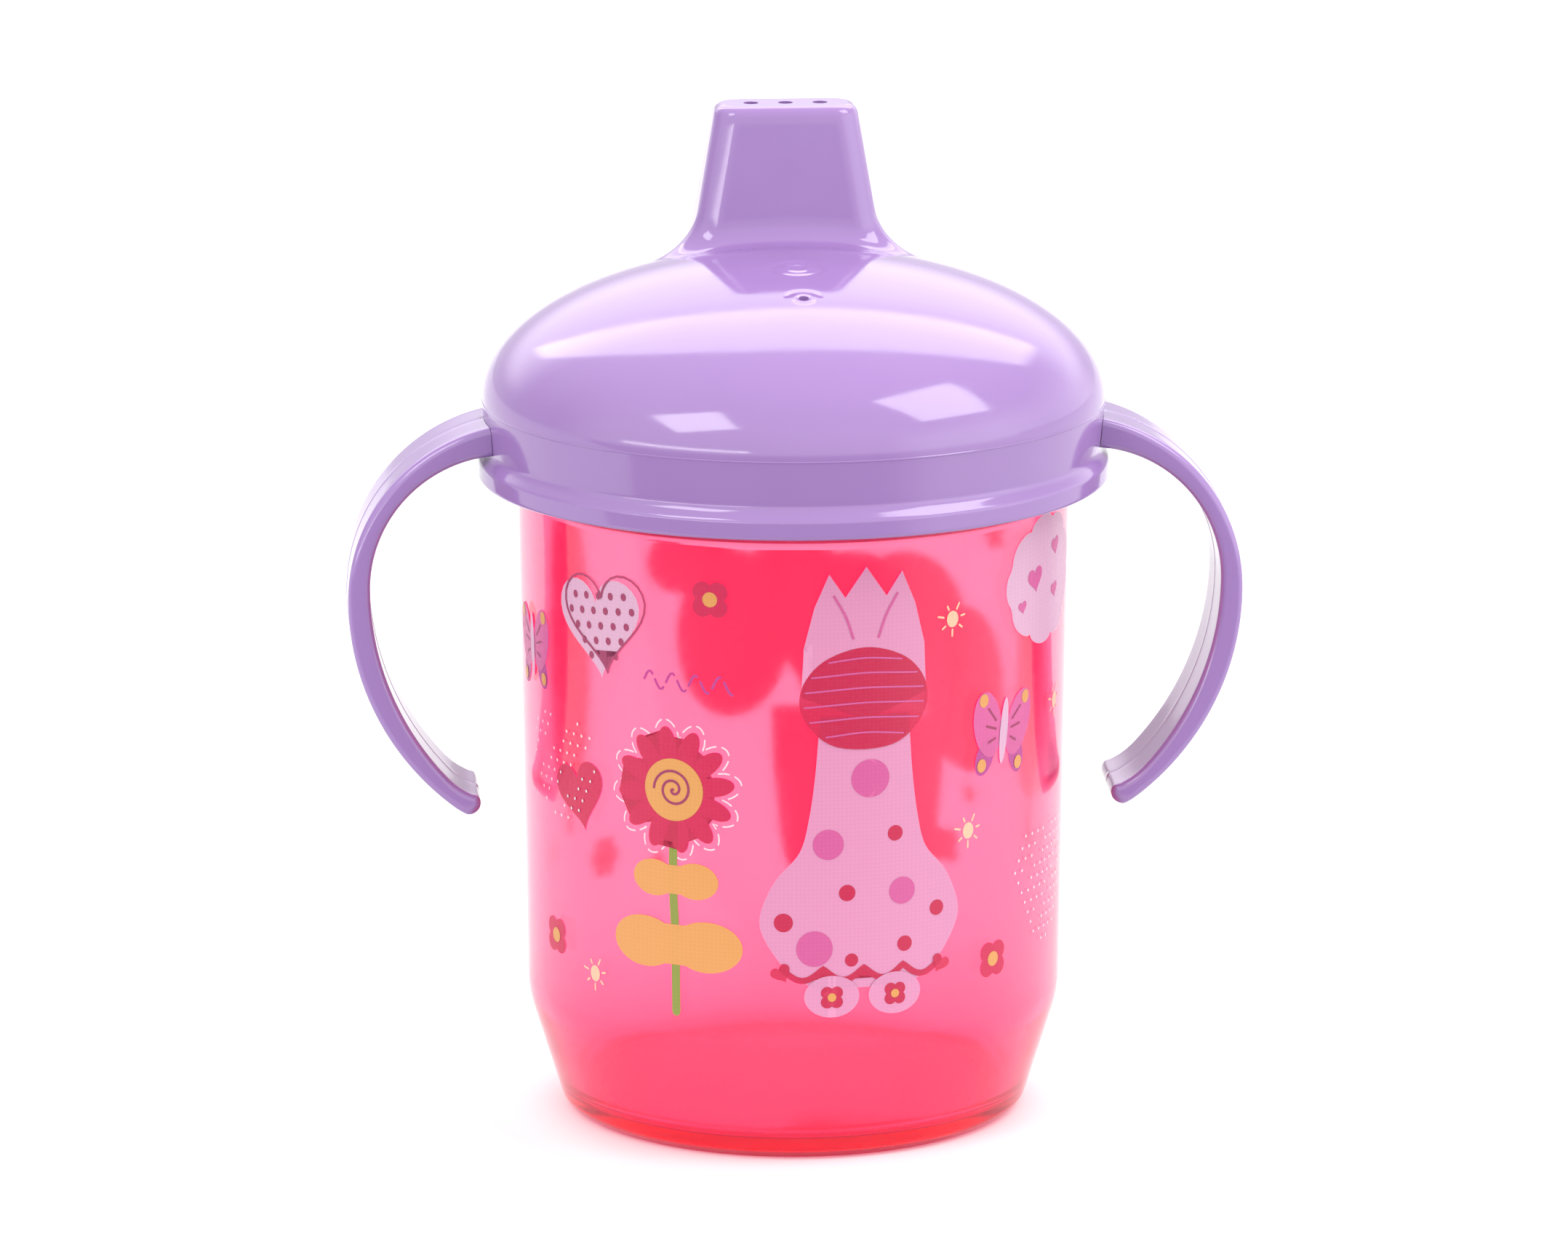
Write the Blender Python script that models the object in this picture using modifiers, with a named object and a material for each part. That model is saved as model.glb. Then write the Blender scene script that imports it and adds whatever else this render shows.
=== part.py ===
"""Training cup for a small child: a tumbler with a spouted screw lid, two handles, a valve and a seal.

The cup stands on the XY plane with its axis on Z. The handles lie along X, and the spout is towards +Y.
"""

from math import cos, pi, radians, sin, sqrt, tan

import bmesh
import bpy
from mathutils import Vector

MM = 0.001  # every dimension below is in millimetres

GAP = 0.3  # clearance between two pieces that touch
TURN_STEPS = 60
SMALL_TURN_STEPS = 28
ARC_STEP = radians(32)  # longest turn of one facet round a fillet

# Tumbler
BASE_RADIUS = 28.0
TAPER_RADIUS = 29.7
TAPER_HEIGHT = 1.2
SHOULDER_RADIUS = 34.0
SHOULDER_HEIGHT = 15.0
BODY_RADIUS = 35.0
BODY_HEIGHT = 83.0
BODY_WALL = 1.8
FOOT_WIDTH = 2.6
FOOT_DEPTH = 0.9
FLOOR_HEIGHT = 2.7
NECK_RADIUS = 33.4
RIM_HEIGHT = 92.5

# Two-start thread
THREAD_LEAD = 10.0
THREAD_STARTS = 2
THREAD_LOW = 86.3
THREAD_SWEEP = 150.0
THREAD_CREST = 34.9
THREAD_HALF_ROOT = 1.0
THREAD_HALF_CREST = 0.5
THREAD_STATIONS = 15
THREAD_FADE = 2  # stations over which a ridge dies away
LID_THREAD_DROP = 1.7
LID_THREAD_CREST = 34.1
LID_THREAD_DELAY = 25.0

# Lid
LIP_RADIUS = 40.0
LIP_LOW = 82.0
LIP_TOP = 85.0
SKIRT_RADIUS = 38.9
SKIRT_INSIDE = 37.2
DOME_RADIUS = 39.4
DOME_LOW = 92.0
DOME_RISE = 18.0
DOME_FACETS = 10
DOME_INSIDE_FACETS = 7
LID_WALL = 1.7
PLUG_OUTSIDE = 31.2
PLUG_INSIDE = 29.8
PLUG_LOW = 90.0
LEDGE_RADIUS = 34.8
LEDGE_LOW = 94.6
LEDGE_TOP = 96.0

# Spout
SPOUT_TOP = 127.0
SPOUT_TOP_Y = 14.7
SPOUT_BASE_Y = 16.0
SPOUT_HALF_WIDTH = 9.0
SPOUT_HALF_DEPTH = 4.1
SPOUT_WIDTH_DRAFT = 0.173
SPOUT_DEPTH_DRAFT = 0.13
SPOUT_CORNER = 3.2
SPOUT_EDGE = 1.2
SPOUT_FLARE = 6.2
SPOUT_FLARE_DEPTH_SHARE = 0.45
SPOUT_FLARE_STEPS = (5.2, 3.2, 2.0, 1.1, 0.5)
SPOUT_BURIED = 98.0
SPOUT_HOLE_RADIUS = 0.95
SPOUT_HOLE_PITCH = 4.4

# Sockets under the lid for the valve, and the air vent
SOCKET_LOW = 101.0
SPOUT_SOCKET_Y = 15.0
SPOUT_SOCKET_BORE = 7.6
SPOUT_SOCKET_RADIUS = 9.2
SPOUT_SOCKET_TOP = 105.2
VENT_Y = -18.0
VENT_SOCKET_BORE = 3.4
VENT_SOCKET_RADIUS = 5.0
VENT_SOCKET_TOP = 105.0
VENT_HOLE_RADIUS = 0.65
VENT_RIM_RADIUS = 1.5
VENT_RIM_TOP = 108.5

# Seal ring and spill valve
SEAL_OUTSIDE = 33.6
VALVE_PLATE = 1.7
VALVE_FLANGE_EXTRA = 2.7
VALVE_SKIN = 0.8
VALVE_PLUG_WALL = 1.6
VENT_PLUG_WALL = 1.0
PLUG_SHORT_OF_TOP = 0.8
BRIDGE_HALF_WIDTH = 4.5
TAB_LENGTH = 8.0
TAB_HALF_WIDTH = 4.0
SLIT_WIDTH = 0.5

# Handles
HANDLE_WIDTH = 14.0
HANDLE_EDGE = 0.9
HANDLE_ROOT_X = 37.6
HANDLE_OUTER_MIDDLE = 67.5
HANDLE_INNER_MIDDLE = 69.0
HANDLE_REACH = 56.8
HANDLE_INNER_REACH = 53.9
HANDLE_UPPER_RADIUS = 22.8
HANDLE_LOWER_RADIUS = 34.0
HANDLE_UPPER_HOLLOW = 17.1
HANDLE_LOWER_HOLLOW = 36.2
HANDLE_TIP_TURN = 53.0
HANDLE_CURL_TURN = 41.0
HANDLE_TIP = ((41.9, 39.6), (41.0, 39.8), (39.7, 41.2), (39.9, 41.9), (41.7, 42.5), (43.4, 43.6))
TONGUE_HALF_WIDTH = 4.5
TONGUE_LOW = 86.9
TONGUE_HIGH = 89.0
TONGUE_CATCH = 0.6
CATCH_INNER = 35.6
CATCH_OUTER = 36.5

LILAC = (0.42, 0.24, 0.63)
PINK = (0.95, 0.16, 0.30)
SILICONE = (0.86, 0.87, 0.90)


def collection_named(name):
    group = bpy.data.collections.new(name)
    bpy.context.scene.collection.children.link(group)
    return group


def material_named(name, colour, roughness, alpha=1.0, transmission=0.0):
    material = bpy.data.materials.new(name)
    material.use_nodes = True
    shader = material.node_tree.nodes["Principled BSDF"]
    shader.inputs["Base Color"].default_value = (*colour, 1.0)
    shader.inputs["Roughness"].default_value = roughness
    shader.inputs["Metallic"].default_value = 0.0
    shader.inputs["Alpha"].default_value = alpha
    shader.inputs["Transmission Weight"].default_value = transmission
    return material


def new_object(name, mesh, group):
    obj = bpy.data.objects.new(name, mesh)
    group.objects.link(obj)
    if group.name == CUTTERS.name:
        obj.hide_render = True
        obj.display_type = "WIRE"
    return obj


def rounded(corners):
    """A path through corners (u, v, radius), each rounded by an arc of its radius, or sharp at 0."""
    path = []
    count = len(corners)
    for index, (u, v, radius) in enumerate(corners):
        here = Vector((u, v))
        if not radius:
            path.append(here)
            continue
        back = (Vector(corners[index - 1][:2]) - here).normalized()
        ahead = (Vector(corners[(index + 1) % count][:2]) - here).normalized()
        half = back.angle(ahead) / 2
        centre = here + (back + ahead).normalized() * radius / sin(half)
        start = here + back * radius / tan(half) - centre
        end = here + ahead * radius / tan(half) - centre
        turn = start.angle_signed(end)
        steps = max(1, round(abs(turn) / ARC_STEP))
        for step in range(steps + 1):
            angle = -turn * step / steps
            spun_x = start.x * cos(angle) - start.y * sin(angle)
            spun_y = start.x * sin(angle) + start.y * cos(angle)
            path.append(centre + Vector((spun_x, spun_y)))
    return path


def turned(name, path, group, ring=False, steps=TURN_STEPS):
    """A solid of revolution about Z from a path of (radius, height); ring closes the path on itself."""
    mesh = bpy.data.meshes.new(name)
    edges = [(index, index + 1) for index in range(len(path) - 1)]
    if ring:
        edges.append((len(path) - 1, 0))
    mesh.from_pydata([(radius * MM, 0.0, height * MM) for radius, height in path], edges, [])
    obj = new_object(name, mesh, group)
    screw = obj.modifiers.new("Turn", "SCREW")
    screw.angle = 2 * pi
    screw.steps = steps
    screw.render_steps = steps
    screw.use_merge_vertices = True
    screw.merge_threshold = 0.00001
    return obj


def loft(name, sections, group):
    """A solid through closed sections that have the same number of points, capped at both ends."""
    shape = bmesh.new()
    rings = [[shape.verts.new(Vector(point) * MM) for point in section] for section in sections]
    for low, high in zip(rings, rings[1:]):
        for index in range(len(low)):
            after = (index + 1) % len(low)
            shape.faces.new((low[index], low[after], high[after], high[index]))
    shape.faces.new(rings[0])
    shape.faces.new(rings[-1])
    bmesh.ops.recalc_face_normals(shape, faces=shape.faces)
    mesh = bpy.data.meshes.new(name)
    shape.to_mesh(mesh)
    shape.free()
    return new_object(name, mesh, group)


def cylinder(name, radius, low, high, x, y, segments):
    shape = bmesh.new()
    wide, tall = radius * MM, (high - low) * MM
    bmesh.ops.create_cone(shape, cap_ends=True, segments=segments, radius1=wide, radius2=wide, depth=tall)
    mesh = bpy.data.meshes.new(name)
    shape.to_mesh(mesh)
    shape.free()
    obj = new_object(name, mesh, CUTTERS)
    obj.location = (x * MM, y * MM, (low + high) / 2 * MM)
    return obj


def box(name, low, high):
    shape = bmesh.new()
    bmesh.ops.create_cube(shape, size=1.0)
    size = [(b - a) * MM for a, b in zip(low, high)]
    bmesh.ops.scale(shape, vec=size, verts=shape.verts)
    mesh = bpy.data.meshes.new(name)
    shape.to_mesh(mesh)
    shape.free()
    obj = new_object(name, mesh, CUTTERS)
    obj.location = [(a + b) / 2 * MM for a, b in zip(low, high)]
    return obj


def combine(obj, operation, tool):
    boolean = obj.modifiers.new(tool.name, "BOOLEAN")
    boolean.operation = operation
    boolean.object = tool


def thread_ridge(name, start, root, crest, low, sweep):
    """One start of the thread: a ridge on its helix, buried in the wall and dying away at both ends."""
    outward = 1 if crest > root else -1
    buried = root - outward * 0.6
    sections = []
    for station in range(THREAD_STATIONS):
        along = sweep * station / (THREAD_STATIONS - 1)
        angle = radians(start + along)
        middle = low + THREAD_LEAD * along / 360
        fade = min(1.0, station / THREAD_FADE, (THREAD_STATIONS - 1 - station) / THREAD_FADE)
        top = root - outward * 0.2 + (crest - root + outward * 0.2) * fade
        section = (
            (buried, middle - THREAD_HALF_ROOT),
            (top, middle - THREAD_HALF_CREST),
            (top, middle + THREAD_HALF_CREST),
            (buried, middle + THREAD_HALF_ROOT),
        )
        sections.append([(radius * cos(angle), radius * sin(angle), height) for radius, height in section])
    return loft(name, sections, CUTTERS)


def cup_body():
    inside = BODY_WALL
    corners = [
        (0, FLOOR_HEIGHT, 0),
        (TAPER_RADIUS - inside, FLOOR_HEIGHT, 3.0),
        (SHOULDER_RADIUS - inside, SHOULDER_HEIGHT, 10.0),
        (BODY_RADIUS - inside, BODY_HEIGHT - 3.0, 2.0),
        (NECK_RADIUS - inside, BODY_HEIGHT, 2.0),
        (NECK_RADIUS - inside, RIM_HEIGHT, 0.8),
        (NECK_RADIUS, RIM_HEIGHT, 0.8),
        (NECK_RADIUS, BODY_HEIGHT, 0),
        (BODY_RADIUS, BODY_HEIGHT, 0.8),
        (SHOULDER_RADIUS, SHOULDER_HEIGHT, 12.0),
        (TAPER_RADIUS, TAPER_HEIGHT, 2.0),
        (BASE_RADIUS, 0, 0),
        (BASE_RADIUS - FOOT_WIDTH, 0, 0),
        (BASE_RADIUS - FOOT_WIDTH - FOOT_DEPTH, FOOT_DEPTH, 0),
        (0, FOOT_DEPTH, 0),
    ]
    body = turned("cup_body", rounded(corners), PARTS)
    for index in range(THREAD_STARTS):
        start = 360 / THREAD_STARTS * index
        name = f"neck_thread_{index}"
        ridge = thread_ridge(name, start, NECK_RADIUS, THREAD_CREST, THREAD_LOW, THREAD_SWEEP)
        combine(body, "UNION", ridge)
    return body


def dome(radius, rise, facets):
    """The dome's curve, a quarter of an ellipse, from its top to its widest."""
    quarter = [pi / 2 * step / facets for step in range(facets + 1)]
    return [(radius * sin(angle), DOME_LOW + rise * cos(angle), 0) for angle in quarter]


def dome_height(distance, radius=DOME_RADIUS, rise=DOME_RISE):
    return DOME_LOW + rise * sqrt(1 - (distance / radius) ** 2)


def rounded_rectangle(half_width, half_depth, corner, middle_y, height):
    corners = [
        (half_width, -half_depth, corner),
        (half_width, half_depth, corner),
        (-half_width, half_depth, corner),
        (-half_width, -half_depth, corner),
    ]
    return [(point.x, point.y + middle_y, height) for point in rounded(corners)]


def spout_section(height, flare=0.0, inset=0.0):
    """A cross-section of the spout's outside, which widens downwards by its draft and then by its flare."""
    below = SPOUT_TOP - height
    half_width = SPOUT_HALF_WIDTH + SPOUT_WIDTH_DRAFT * below + flare - inset
    half_depth = SPOUT_HALF_DEPTH + SPOUT_DEPTH_DRAFT * below + flare * SPOUT_FLARE_DEPTH_SHARE - inset
    middle = SPOUT_TOP_Y + (SPOUT_BASE_Y - SPOUT_TOP_Y) * below / (SPOUT_TOP - DOME_LOW - DOME_RISE)
    corner = SPOUT_CORNER + flare * SPOUT_FLARE_DEPTH_SHARE - inset
    return rounded_rectangle(half_width, half_depth, corner, middle, height)


def spout_outside():
    """The spout's outer form: a rounded top edge, straight walls, and a fillet that follows the dome."""
    sections = []
    for step in range(4):
        angle = pi / 2 * step / 3
        height = SPOUT_TOP - SPOUT_EDGE * (1 - cos(angle))
        sections.append(spout_section(height, inset=SPOUT_EDGE * (1 - sin(angle))))
    sections.append(spout_section((SPOUT_TOP + DOME_LOW + DOME_RISE) / 2))
    for above in SPOUT_FLARE_STEPS:
        flare = SPOUT_FLARE - sqrt(SPOUT_FLARE**2 - (SPOUT_FLARE - above) ** 2)
        outline = spout_section(DOME_LOW + DOME_RISE + above, flare)
        sections.append([(x, y, dome_height(sqrt(x * x + y * y)) + above) for x, y, _ in outline])
    sections.append([(x, y, SPOUT_BURIED) for x, y, _ in sections[-1]])
    return loft("spout_outside", sections, CUTTERS)


def spout_inside():
    """The drinking channel, from the valve's socket up to the skin that the holes go through."""
    stations = (
        (SPOUT_SOCKET_TOP - 0.5, 6.8, 5.6, 15.0),
        (108.0, 8.0, 4.9, 15.4),
        (112.0, 9.0, 4.2, 15.6),
        (118.0, 8.4, 3.4, 15.2),
        (SPOUT_TOP - 1.8, 7.3, 2.5, SPOUT_TOP_Y),
    )
    sections = []
    for height, wide, deep, middle in stations:
        sections.append(rounded_rectangle(wide, deep, 2.0, middle, height))
    return loft("spout_inside", sections, CUTTERS)


def lid():
    skirt = [
        (SKIRT_RADIUS, LIP_TOP + 0.3, 0.5),
        (LIP_RADIUS, LIP_TOP, 0.8),
        (LIP_RADIUS, LIP_LOW, 0.5),
        (0, LIP_LOW, 0),
    ]
    shell = turned("lid", rounded(dome(DOME_RADIUS, DOME_RISE, DOME_FACETS) + skirt), PARTS)
    combine(shell, "UNION", spout_outside())
    combine(shell, "UNION", cylinder("vent_rim", VENT_RIM_RADIUS, 105.0, VENT_RIM_TOP, 0, VENT_Y, 24))

    under_radius = DOME_RADIUS - LID_WALL
    under_rise = DOME_RISE - LID_WALL
    under = dome(under_radius, under_rise, DOME_INSIDE_FACETS)
    inner = [point for point in under if point[0] < PLUG_INSIDE - 1]
    outer = [point for point in under if point[0] > PLUG_OUTSIDE + 1]
    hollow = inner + [
        (PLUG_INSIDE, dome_height(PLUG_INSIDE, under_radius, under_rise), 0),
        (PLUG_INSIDE, PLUG_LOW, 0),
        (PLUG_OUTSIDE, PLUG_LOW, 0),
        (PLUG_OUTSIDE, LEDGE_LOW, 0),
        (LEDGE_RADIUS, LEDGE_LOW, 0),
        (LEDGE_RADIUS, LEDGE_TOP, 0),
        (PLUG_OUTSIDE, LEDGE_TOP, 0),
        (PLUG_OUTSIDE, dome_height(PLUG_OUTSIDE, under_radius, under_rise), 0),
    ] + outer + [
        (SKIRT_INSIDE, DOME_LOW - 2, 0),
        (SKIRT_INSIDE, LIP_LOW - 2, 0),
        (0, LIP_LOW - 2, 0),
    ]
    void = turned("lid_hollow", rounded(hollow), CUTTERS)
    for name, radius, y in (
        ("spout_socket", SPOUT_SOCKET_RADIUS, SPOUT_SOCKET_Y),
        ("vent_socket", VENT_SOCKET_RADIUS, VENT_Y),
    ):
        combine(void, "DIFFERENCE", cylinder(name, radius, SOCKET_LOW, 120.0, 0, y, 40))
    combine(shell, "DIFFERENCE", void)

    bores = (
        ("spout_bore", SPOUT_SOCKET_BORE, SPOUT_SOCKET_TOP, SPOUT_SOCKET_Y),
        ("vent_bore", VENT_SOCKET_BORE, VENT_SOCKET_TOP, VENT_Y),
    )
    for name, radius, top, y in bores:
        combine(shell, "DIFFERENCE", cylinder(name, radius, SOCKET_LOW - 1, top, 0, y, 32))
    combine(shell, "DIFFERENCE", spout_inside())
    for index in (-1, 0, 1):
        x = index * SPOUT_HOLE_PITCH
        hole = cylinder(f"spout_hole_{index + 1}", SPOUT_HOLE_RADIUS, 124.0, 128.0, x, SPOUT_TOP_Y, 16)
        combine(shell, "DIFFERENCE", hole)
    combine(shell, "DIFFERENCE", cylinder("vent_hole", VENT_HOLE_RADIUS, 104.0, 110.0, 0, VENT_Y, 12))

    for index in range(THREAD_STARTS):
        start = 360 / THREAD_STARTS * index + LID_THREAD_DELAY
        low = THREAD_LOW - LID_THREAD_DROP + THREAD_LEAD * LID_THREAD_DELAY / 360
        sweep = THREAD_SWEEP - LID_THREAD_DELAY
        ridge = thread_ridge(f"lid_thread_{index}", start, SKIRT_INSIDE, LID_THREAD_CREST, low, sweep)
        combine(shell, "UNION", ridge)
    half = TONGUE_HALF_WIDTH + GAP
    slot = box("handle_slots", (-45, -half, TONGUE_LOW - GAP), (45, half, TONGUE_HIGH + GAP))
    core = cylinder("slot_core", CATCH_INNER - 1, 80, 95, 0, 0, 48)
    combine(slot, "DIFFERENCE", core)
    combine(shell, "DIFFERENCE", slot)
    return shell


def arc(centre_x, centre_z, radius, first, last, steps):
    """Points round a circle from one angle to the other, in degrees from +X towards +Z."""
    angles = [radians(first + (last - first) * step / steps) for step in range(steps + 1)]
    return [(centre_x + radius * cos(angle), centre_z + radius * sin(angle)) for angle in angles]


def handle_outline():
    """The strap's side view: two arcs down its outside, the blunt tip, and two arcs up its inside."""
    outer_x = HANDLE_REACH - HANDLE_UPPER_RADIUS
    lower_x = HANDLE_REACH - HANDLE_LOWER_RADIUS
    hollow_x = HANDLE_INNER_REACH - HANDLE_UPPER_HOLLOW
    curl_x = HANDLE_INNER_REACH - HANDLE_LOWER_HOLLOW
    outer_high = arc(outer_x, HANDLE_OUTER_MIDDLE, HANDLE_UPPER_RADIUS, 81, 0, 10)
    outer_low = arc(lower_x, HANDLE_OUTER_MIDDLE, HANDLE_LOWER_RADIUS, 0, -HANDLE_TIP_TURN, 9)
    inner_low = arc(curl_x, HANDLE_INNER_MIDDLE, HANDLE_LOWER_HOLLOW, -HANDLE_CURL_TURN, 0, 7)
    inner_high = arc(hollow_x, HANDLE_INNER_MIDDLE, HANDLE_UPPER_HOLLOW, 0, 87, 9)
    return outer_high + outer_low[1:] + list(HANDLE_TIP) + inner_low + inner_high[1:]


def handle(name, turn, fit):
    """One handle, made on +X and turned about Z into place, with a tongue that snaps through the skirt."""
    shape = bmesh.new()
    shape.faces.new([shape.verts.new((x * MM, 0.0, z * MM)) for x, z in handle_outline()])
    mesh = bpy.data.meshes.new(name)
    shape.to_mesh(mesh)
    shape.free()
    strap = new_object(name, mesh, PARTS)
    strap.rotation_euler.z = turn
    solidify = strap.modifiers.new("Width", "SOLIDIFY")
    solidify.thickness = HANDLE_WIDTH * MM
    solidify.offset = 0.0
    bevel = strap.modifiers.new("Edges", "BEVEL")
    bevel.width = HANDLE_EDGE * MM
    bevel.segments = 2
    bevel.limit_method = "ANGLE"
    bevel.angle_limit = radians(60)
    combine(strap, "DIFFERENCE", fit)
    half = TONGUE_HALF_WIDTH
    tongue_low = (CATCH_INNER, -half, TONGUE_LOW)
    tongue_high = (HANDLE_ROOT_X + 3.5, half, TONGUE_HIGH)
    tongue = box(f"{name}_tongue", tongue_low, tongue_high)
    catch_low = (CATCH_INNER, -half, TONGUE_LOW - TONGUE_CATCH)
    catch_high = (CATCH_OUTER, half, TONGUE_HIGH + TONGUE_CATCH)
    catch = box(f"{name}_catch", catch_low, catch_high)
    for tool in (tongue, catch):
        tool.location.x *= cos(turn)
        tool.rotation_euler.z = turn
        combine(strap, "UNION", tool)
    return strap


def seal_ring():
    inside = PLUG_OUTSIDE + GAP
    low = RIM_HEIGHT + GAP
    high = LEDGE_LOW - GAP
    corners = [(SEAL_OUTSIDE, high), (SEAL_OUTSIDE, low), (inside, low), (inside, high)]
    return turned("seal_ring", corners, PARTS, ring=True)


def valve_plug(name, group, bore, top, wall):
    """A cup that fits up a socket, closed at its top by the skin that the slits go through."""
    outside = bore - GAP
    plate_top = SOCKET_LOW - GAP
    plate_low = plate_top - VALVE_PLATE
    crown = top - PLUG_SHORT_OF_TOP
    corners = [
        (0, crown, 0),
        (outside, crown, VALVE_SKIN / 2),
        (outside, plate_top, 0),
        (bore + VALVE_FLANGE_EXTRA, plate_top, 0),
        (bore + VALVE_FLANGE_EXTRA, plate_low, 0),
        (outside - wall, plate_low, 0),
        (outside - wall, crown - VALVE_SKIN, 0),
        (0, crown - VALVE_SKIN, 0),
    ]
    return turned(name, rounded(corners), group, steps=SMALL_TURN_STEPS)


def spill_valve():
    plate_top = SOCKET_LOW - GAP
    plate_low = plate_top - VALVE_PLATE
    valve = valve_plug("spill_valve", PARTS, SPOUT_SOCKET_BORE, SPOUT_SOCKET_TOP, VALVE_PLUG_WALL)
    valve.location.y = SPOUT_SOCKET_Y * MM
    vent = valve_plug("vent_plug", CUTTERS, VENT_SOCKET_BORE, VENT_SOCKET_TOP, VENT_PLUG_WALL)
    vent.location.y = VENT_Y * MM
    combine(valve, "UNION", vent)
    bridge_low = (-BRIDGE_HALF_WIDTH, VENT_Y + VENT_SOCKET_BORE + 1, plate_low + 0.1)
    bridge_high = (BRIDGE_HALF_WIDTH, SPOUT_SOCKET_Y - SPOUT_SOCKET_BORE, plate_top - 0.1)
    combine(valve, "UNION", box("valve_bridge", bridge_low, bridge_high))
    tab_low = (0, -TAB_HALF_WIDTH - 2, plate_low + 0.2)
    tab_high = (BRIDGE_HALF_WIDTH + TAB_LENGTH, TAB_HALF_WIDTH - 2, plate_top - 0.2)
    combine(valve, "UNION", box("valve_tab", tab_low, tab_high))
    for name, y, reach in (("spout_slit", SPOUT_SOCKET_Y, 4.0), ("vent_slit", VENT_Y, 1.5)):
        slit_low = (-reach, y - SLIT_WIDTH / 2, plate_top + 1)
        slit_high = (reach, y + SLIT_WIDTH / 2, plate_top + 6)
        combine(valve, "DIFFERENCE", box(name, slit_low, slit_high))
    return valve


def finish(obj, material):
    obj.data.materials.append(material)
    for polygon in obj.data.polygons:
        polygon.use_smooth = True


for old in list(bpy.data.objects):
    bpy.data.objects.remove(old)
PARTS = collection_named("sippy_cup")
CUTTERS = collection_named("cutters")

lilac_plastic = material_named("lilac_plastic", LILAC, 0.22)
pink_plastic = material_named("pink_plastic", PINK, 0.12, alpha=0.75, transmission=0.6)
silicone = material_named("silicone", SILICONE, 0.45)

root_cone = [(0, 97), (DOME_RADIUS + GAP, 97), (SKIRT_RADIUS + GAP, 84), (0, 84)]
root_fit = turned("root_fit", root_cone, CUTTERS)
finish(cup_body(), pink_plastic)
finish(lid(), lilac_plastic)
finish(handle("handle_right", 0.0, root_fit), lilac_plastic)
finish(handle("handle_left", pi, root_fit), lilac_plastic)
finish(seal_ring(), silicone)
finish(spill_valve(), silicone)
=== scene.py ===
"""Looks of the training cup: fine meshes, printed pattern, materials, light and camera.

Lengths are in millimetres until a mesh is made. Z is up, the handles lie along X and the spout leans to +Y.
The print is drawn on the wall rolled out flat: u runs round it from -Y towards +X, and v is the height.
"""

from math import ceil, cos, hypot, pi, radians, sin, sqrt, tan

import bmesh
import bpy
import numpy as np
from mathutils import Color, Matrix, Quaternion, Vector


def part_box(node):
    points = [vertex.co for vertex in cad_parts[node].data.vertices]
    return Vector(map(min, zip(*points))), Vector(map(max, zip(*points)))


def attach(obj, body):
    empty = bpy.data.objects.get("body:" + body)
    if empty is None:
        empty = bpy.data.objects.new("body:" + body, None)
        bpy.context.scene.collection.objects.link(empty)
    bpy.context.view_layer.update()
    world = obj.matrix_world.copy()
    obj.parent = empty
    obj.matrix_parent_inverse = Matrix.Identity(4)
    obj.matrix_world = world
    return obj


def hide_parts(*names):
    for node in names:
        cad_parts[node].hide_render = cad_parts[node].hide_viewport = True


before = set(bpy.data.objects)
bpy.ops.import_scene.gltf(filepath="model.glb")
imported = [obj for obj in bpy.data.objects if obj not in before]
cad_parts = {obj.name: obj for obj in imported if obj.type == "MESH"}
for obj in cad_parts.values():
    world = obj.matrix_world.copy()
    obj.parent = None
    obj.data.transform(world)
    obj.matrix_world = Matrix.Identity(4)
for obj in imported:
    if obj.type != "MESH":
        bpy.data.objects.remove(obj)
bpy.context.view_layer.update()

MM = 0.001
TURN_STEPS = 240
LID_STEPS = 288
ARC_STEP = radians(9)  # longest turn of one facet round a fillet
SHARP_EDGE = radians(40)
HAIR = 0.03  # clearance where a piece sits tight on another

CUP_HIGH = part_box("cup_body")[1] / MM
LID_LOW, LID_HIGH = (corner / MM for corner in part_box("lid"))
SEAL_LOW, SEAL_HIGH = (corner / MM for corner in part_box("seal_ring"))
HANDLE_LOW, HANDLE_HIGH = (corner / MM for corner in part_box("handle_right"))

# Tumbler
BODY_RADIUS = 35.0
BODY_HEIGHT = 83.0
RIM_HEIGHT = CUP_HIGH.z
SHOULDER_RADIUS = 34.0
SHOULDER_HEIGHT = 15.0
TAPER_RADIUS = 29.7
TAPER_HEIGHT = 1.2
BASE_RADIUS = 28.0
FOOT_WIDTH = 2.6
FOOT_DEPTH = 0.9
FLOOR_HEIGHT = 2.7
BODY_WALL = 1.8
NECK_RADIUS = 33.4

# Two-start thread
THREAD_LEAD = 10.0
THREAD_STARTS = 2
THREAD_LOW = RIM_HEIGHT - 6.2
THREAD_SWEEP = 150.0
THREAD_RISE = 1.5
THREAD_HALF = 0.9
THREAD_FADE = 20.0
THREAD_ROW = 0.25
LID_THREAD_DROP = 1.7
LID_THREAD_RISE = 3.0
LID_THREAD_DELAY = 25.0

# Lid
LIP_RADIUS = LID_HIGH.x
LIP_LOW = LID_LOW.z
LIP_TOP = LIP_LOW + 3.0
SKIRT_RADIUS = 38.9
SKIRT_INSIDE = 37.2
DOME_RADIUS = 39.4
DOME_LOW = LIP_LOW + 10.0
DOME_RISE = 18.0
DOME_ROWS = 64
LID_WALL = 1.7
PLUG_OUTSIDE = 31.2
PLUG_INSIDE = 29.8
PLUG_LOW = 90.0
LEDGE_RADIUS = 34.8
LEDGE_LOW = 94.6
LEDGE_TOP = 96.0
SEAM_RISE = 0.06
SEAM_HALF = 0.12

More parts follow.
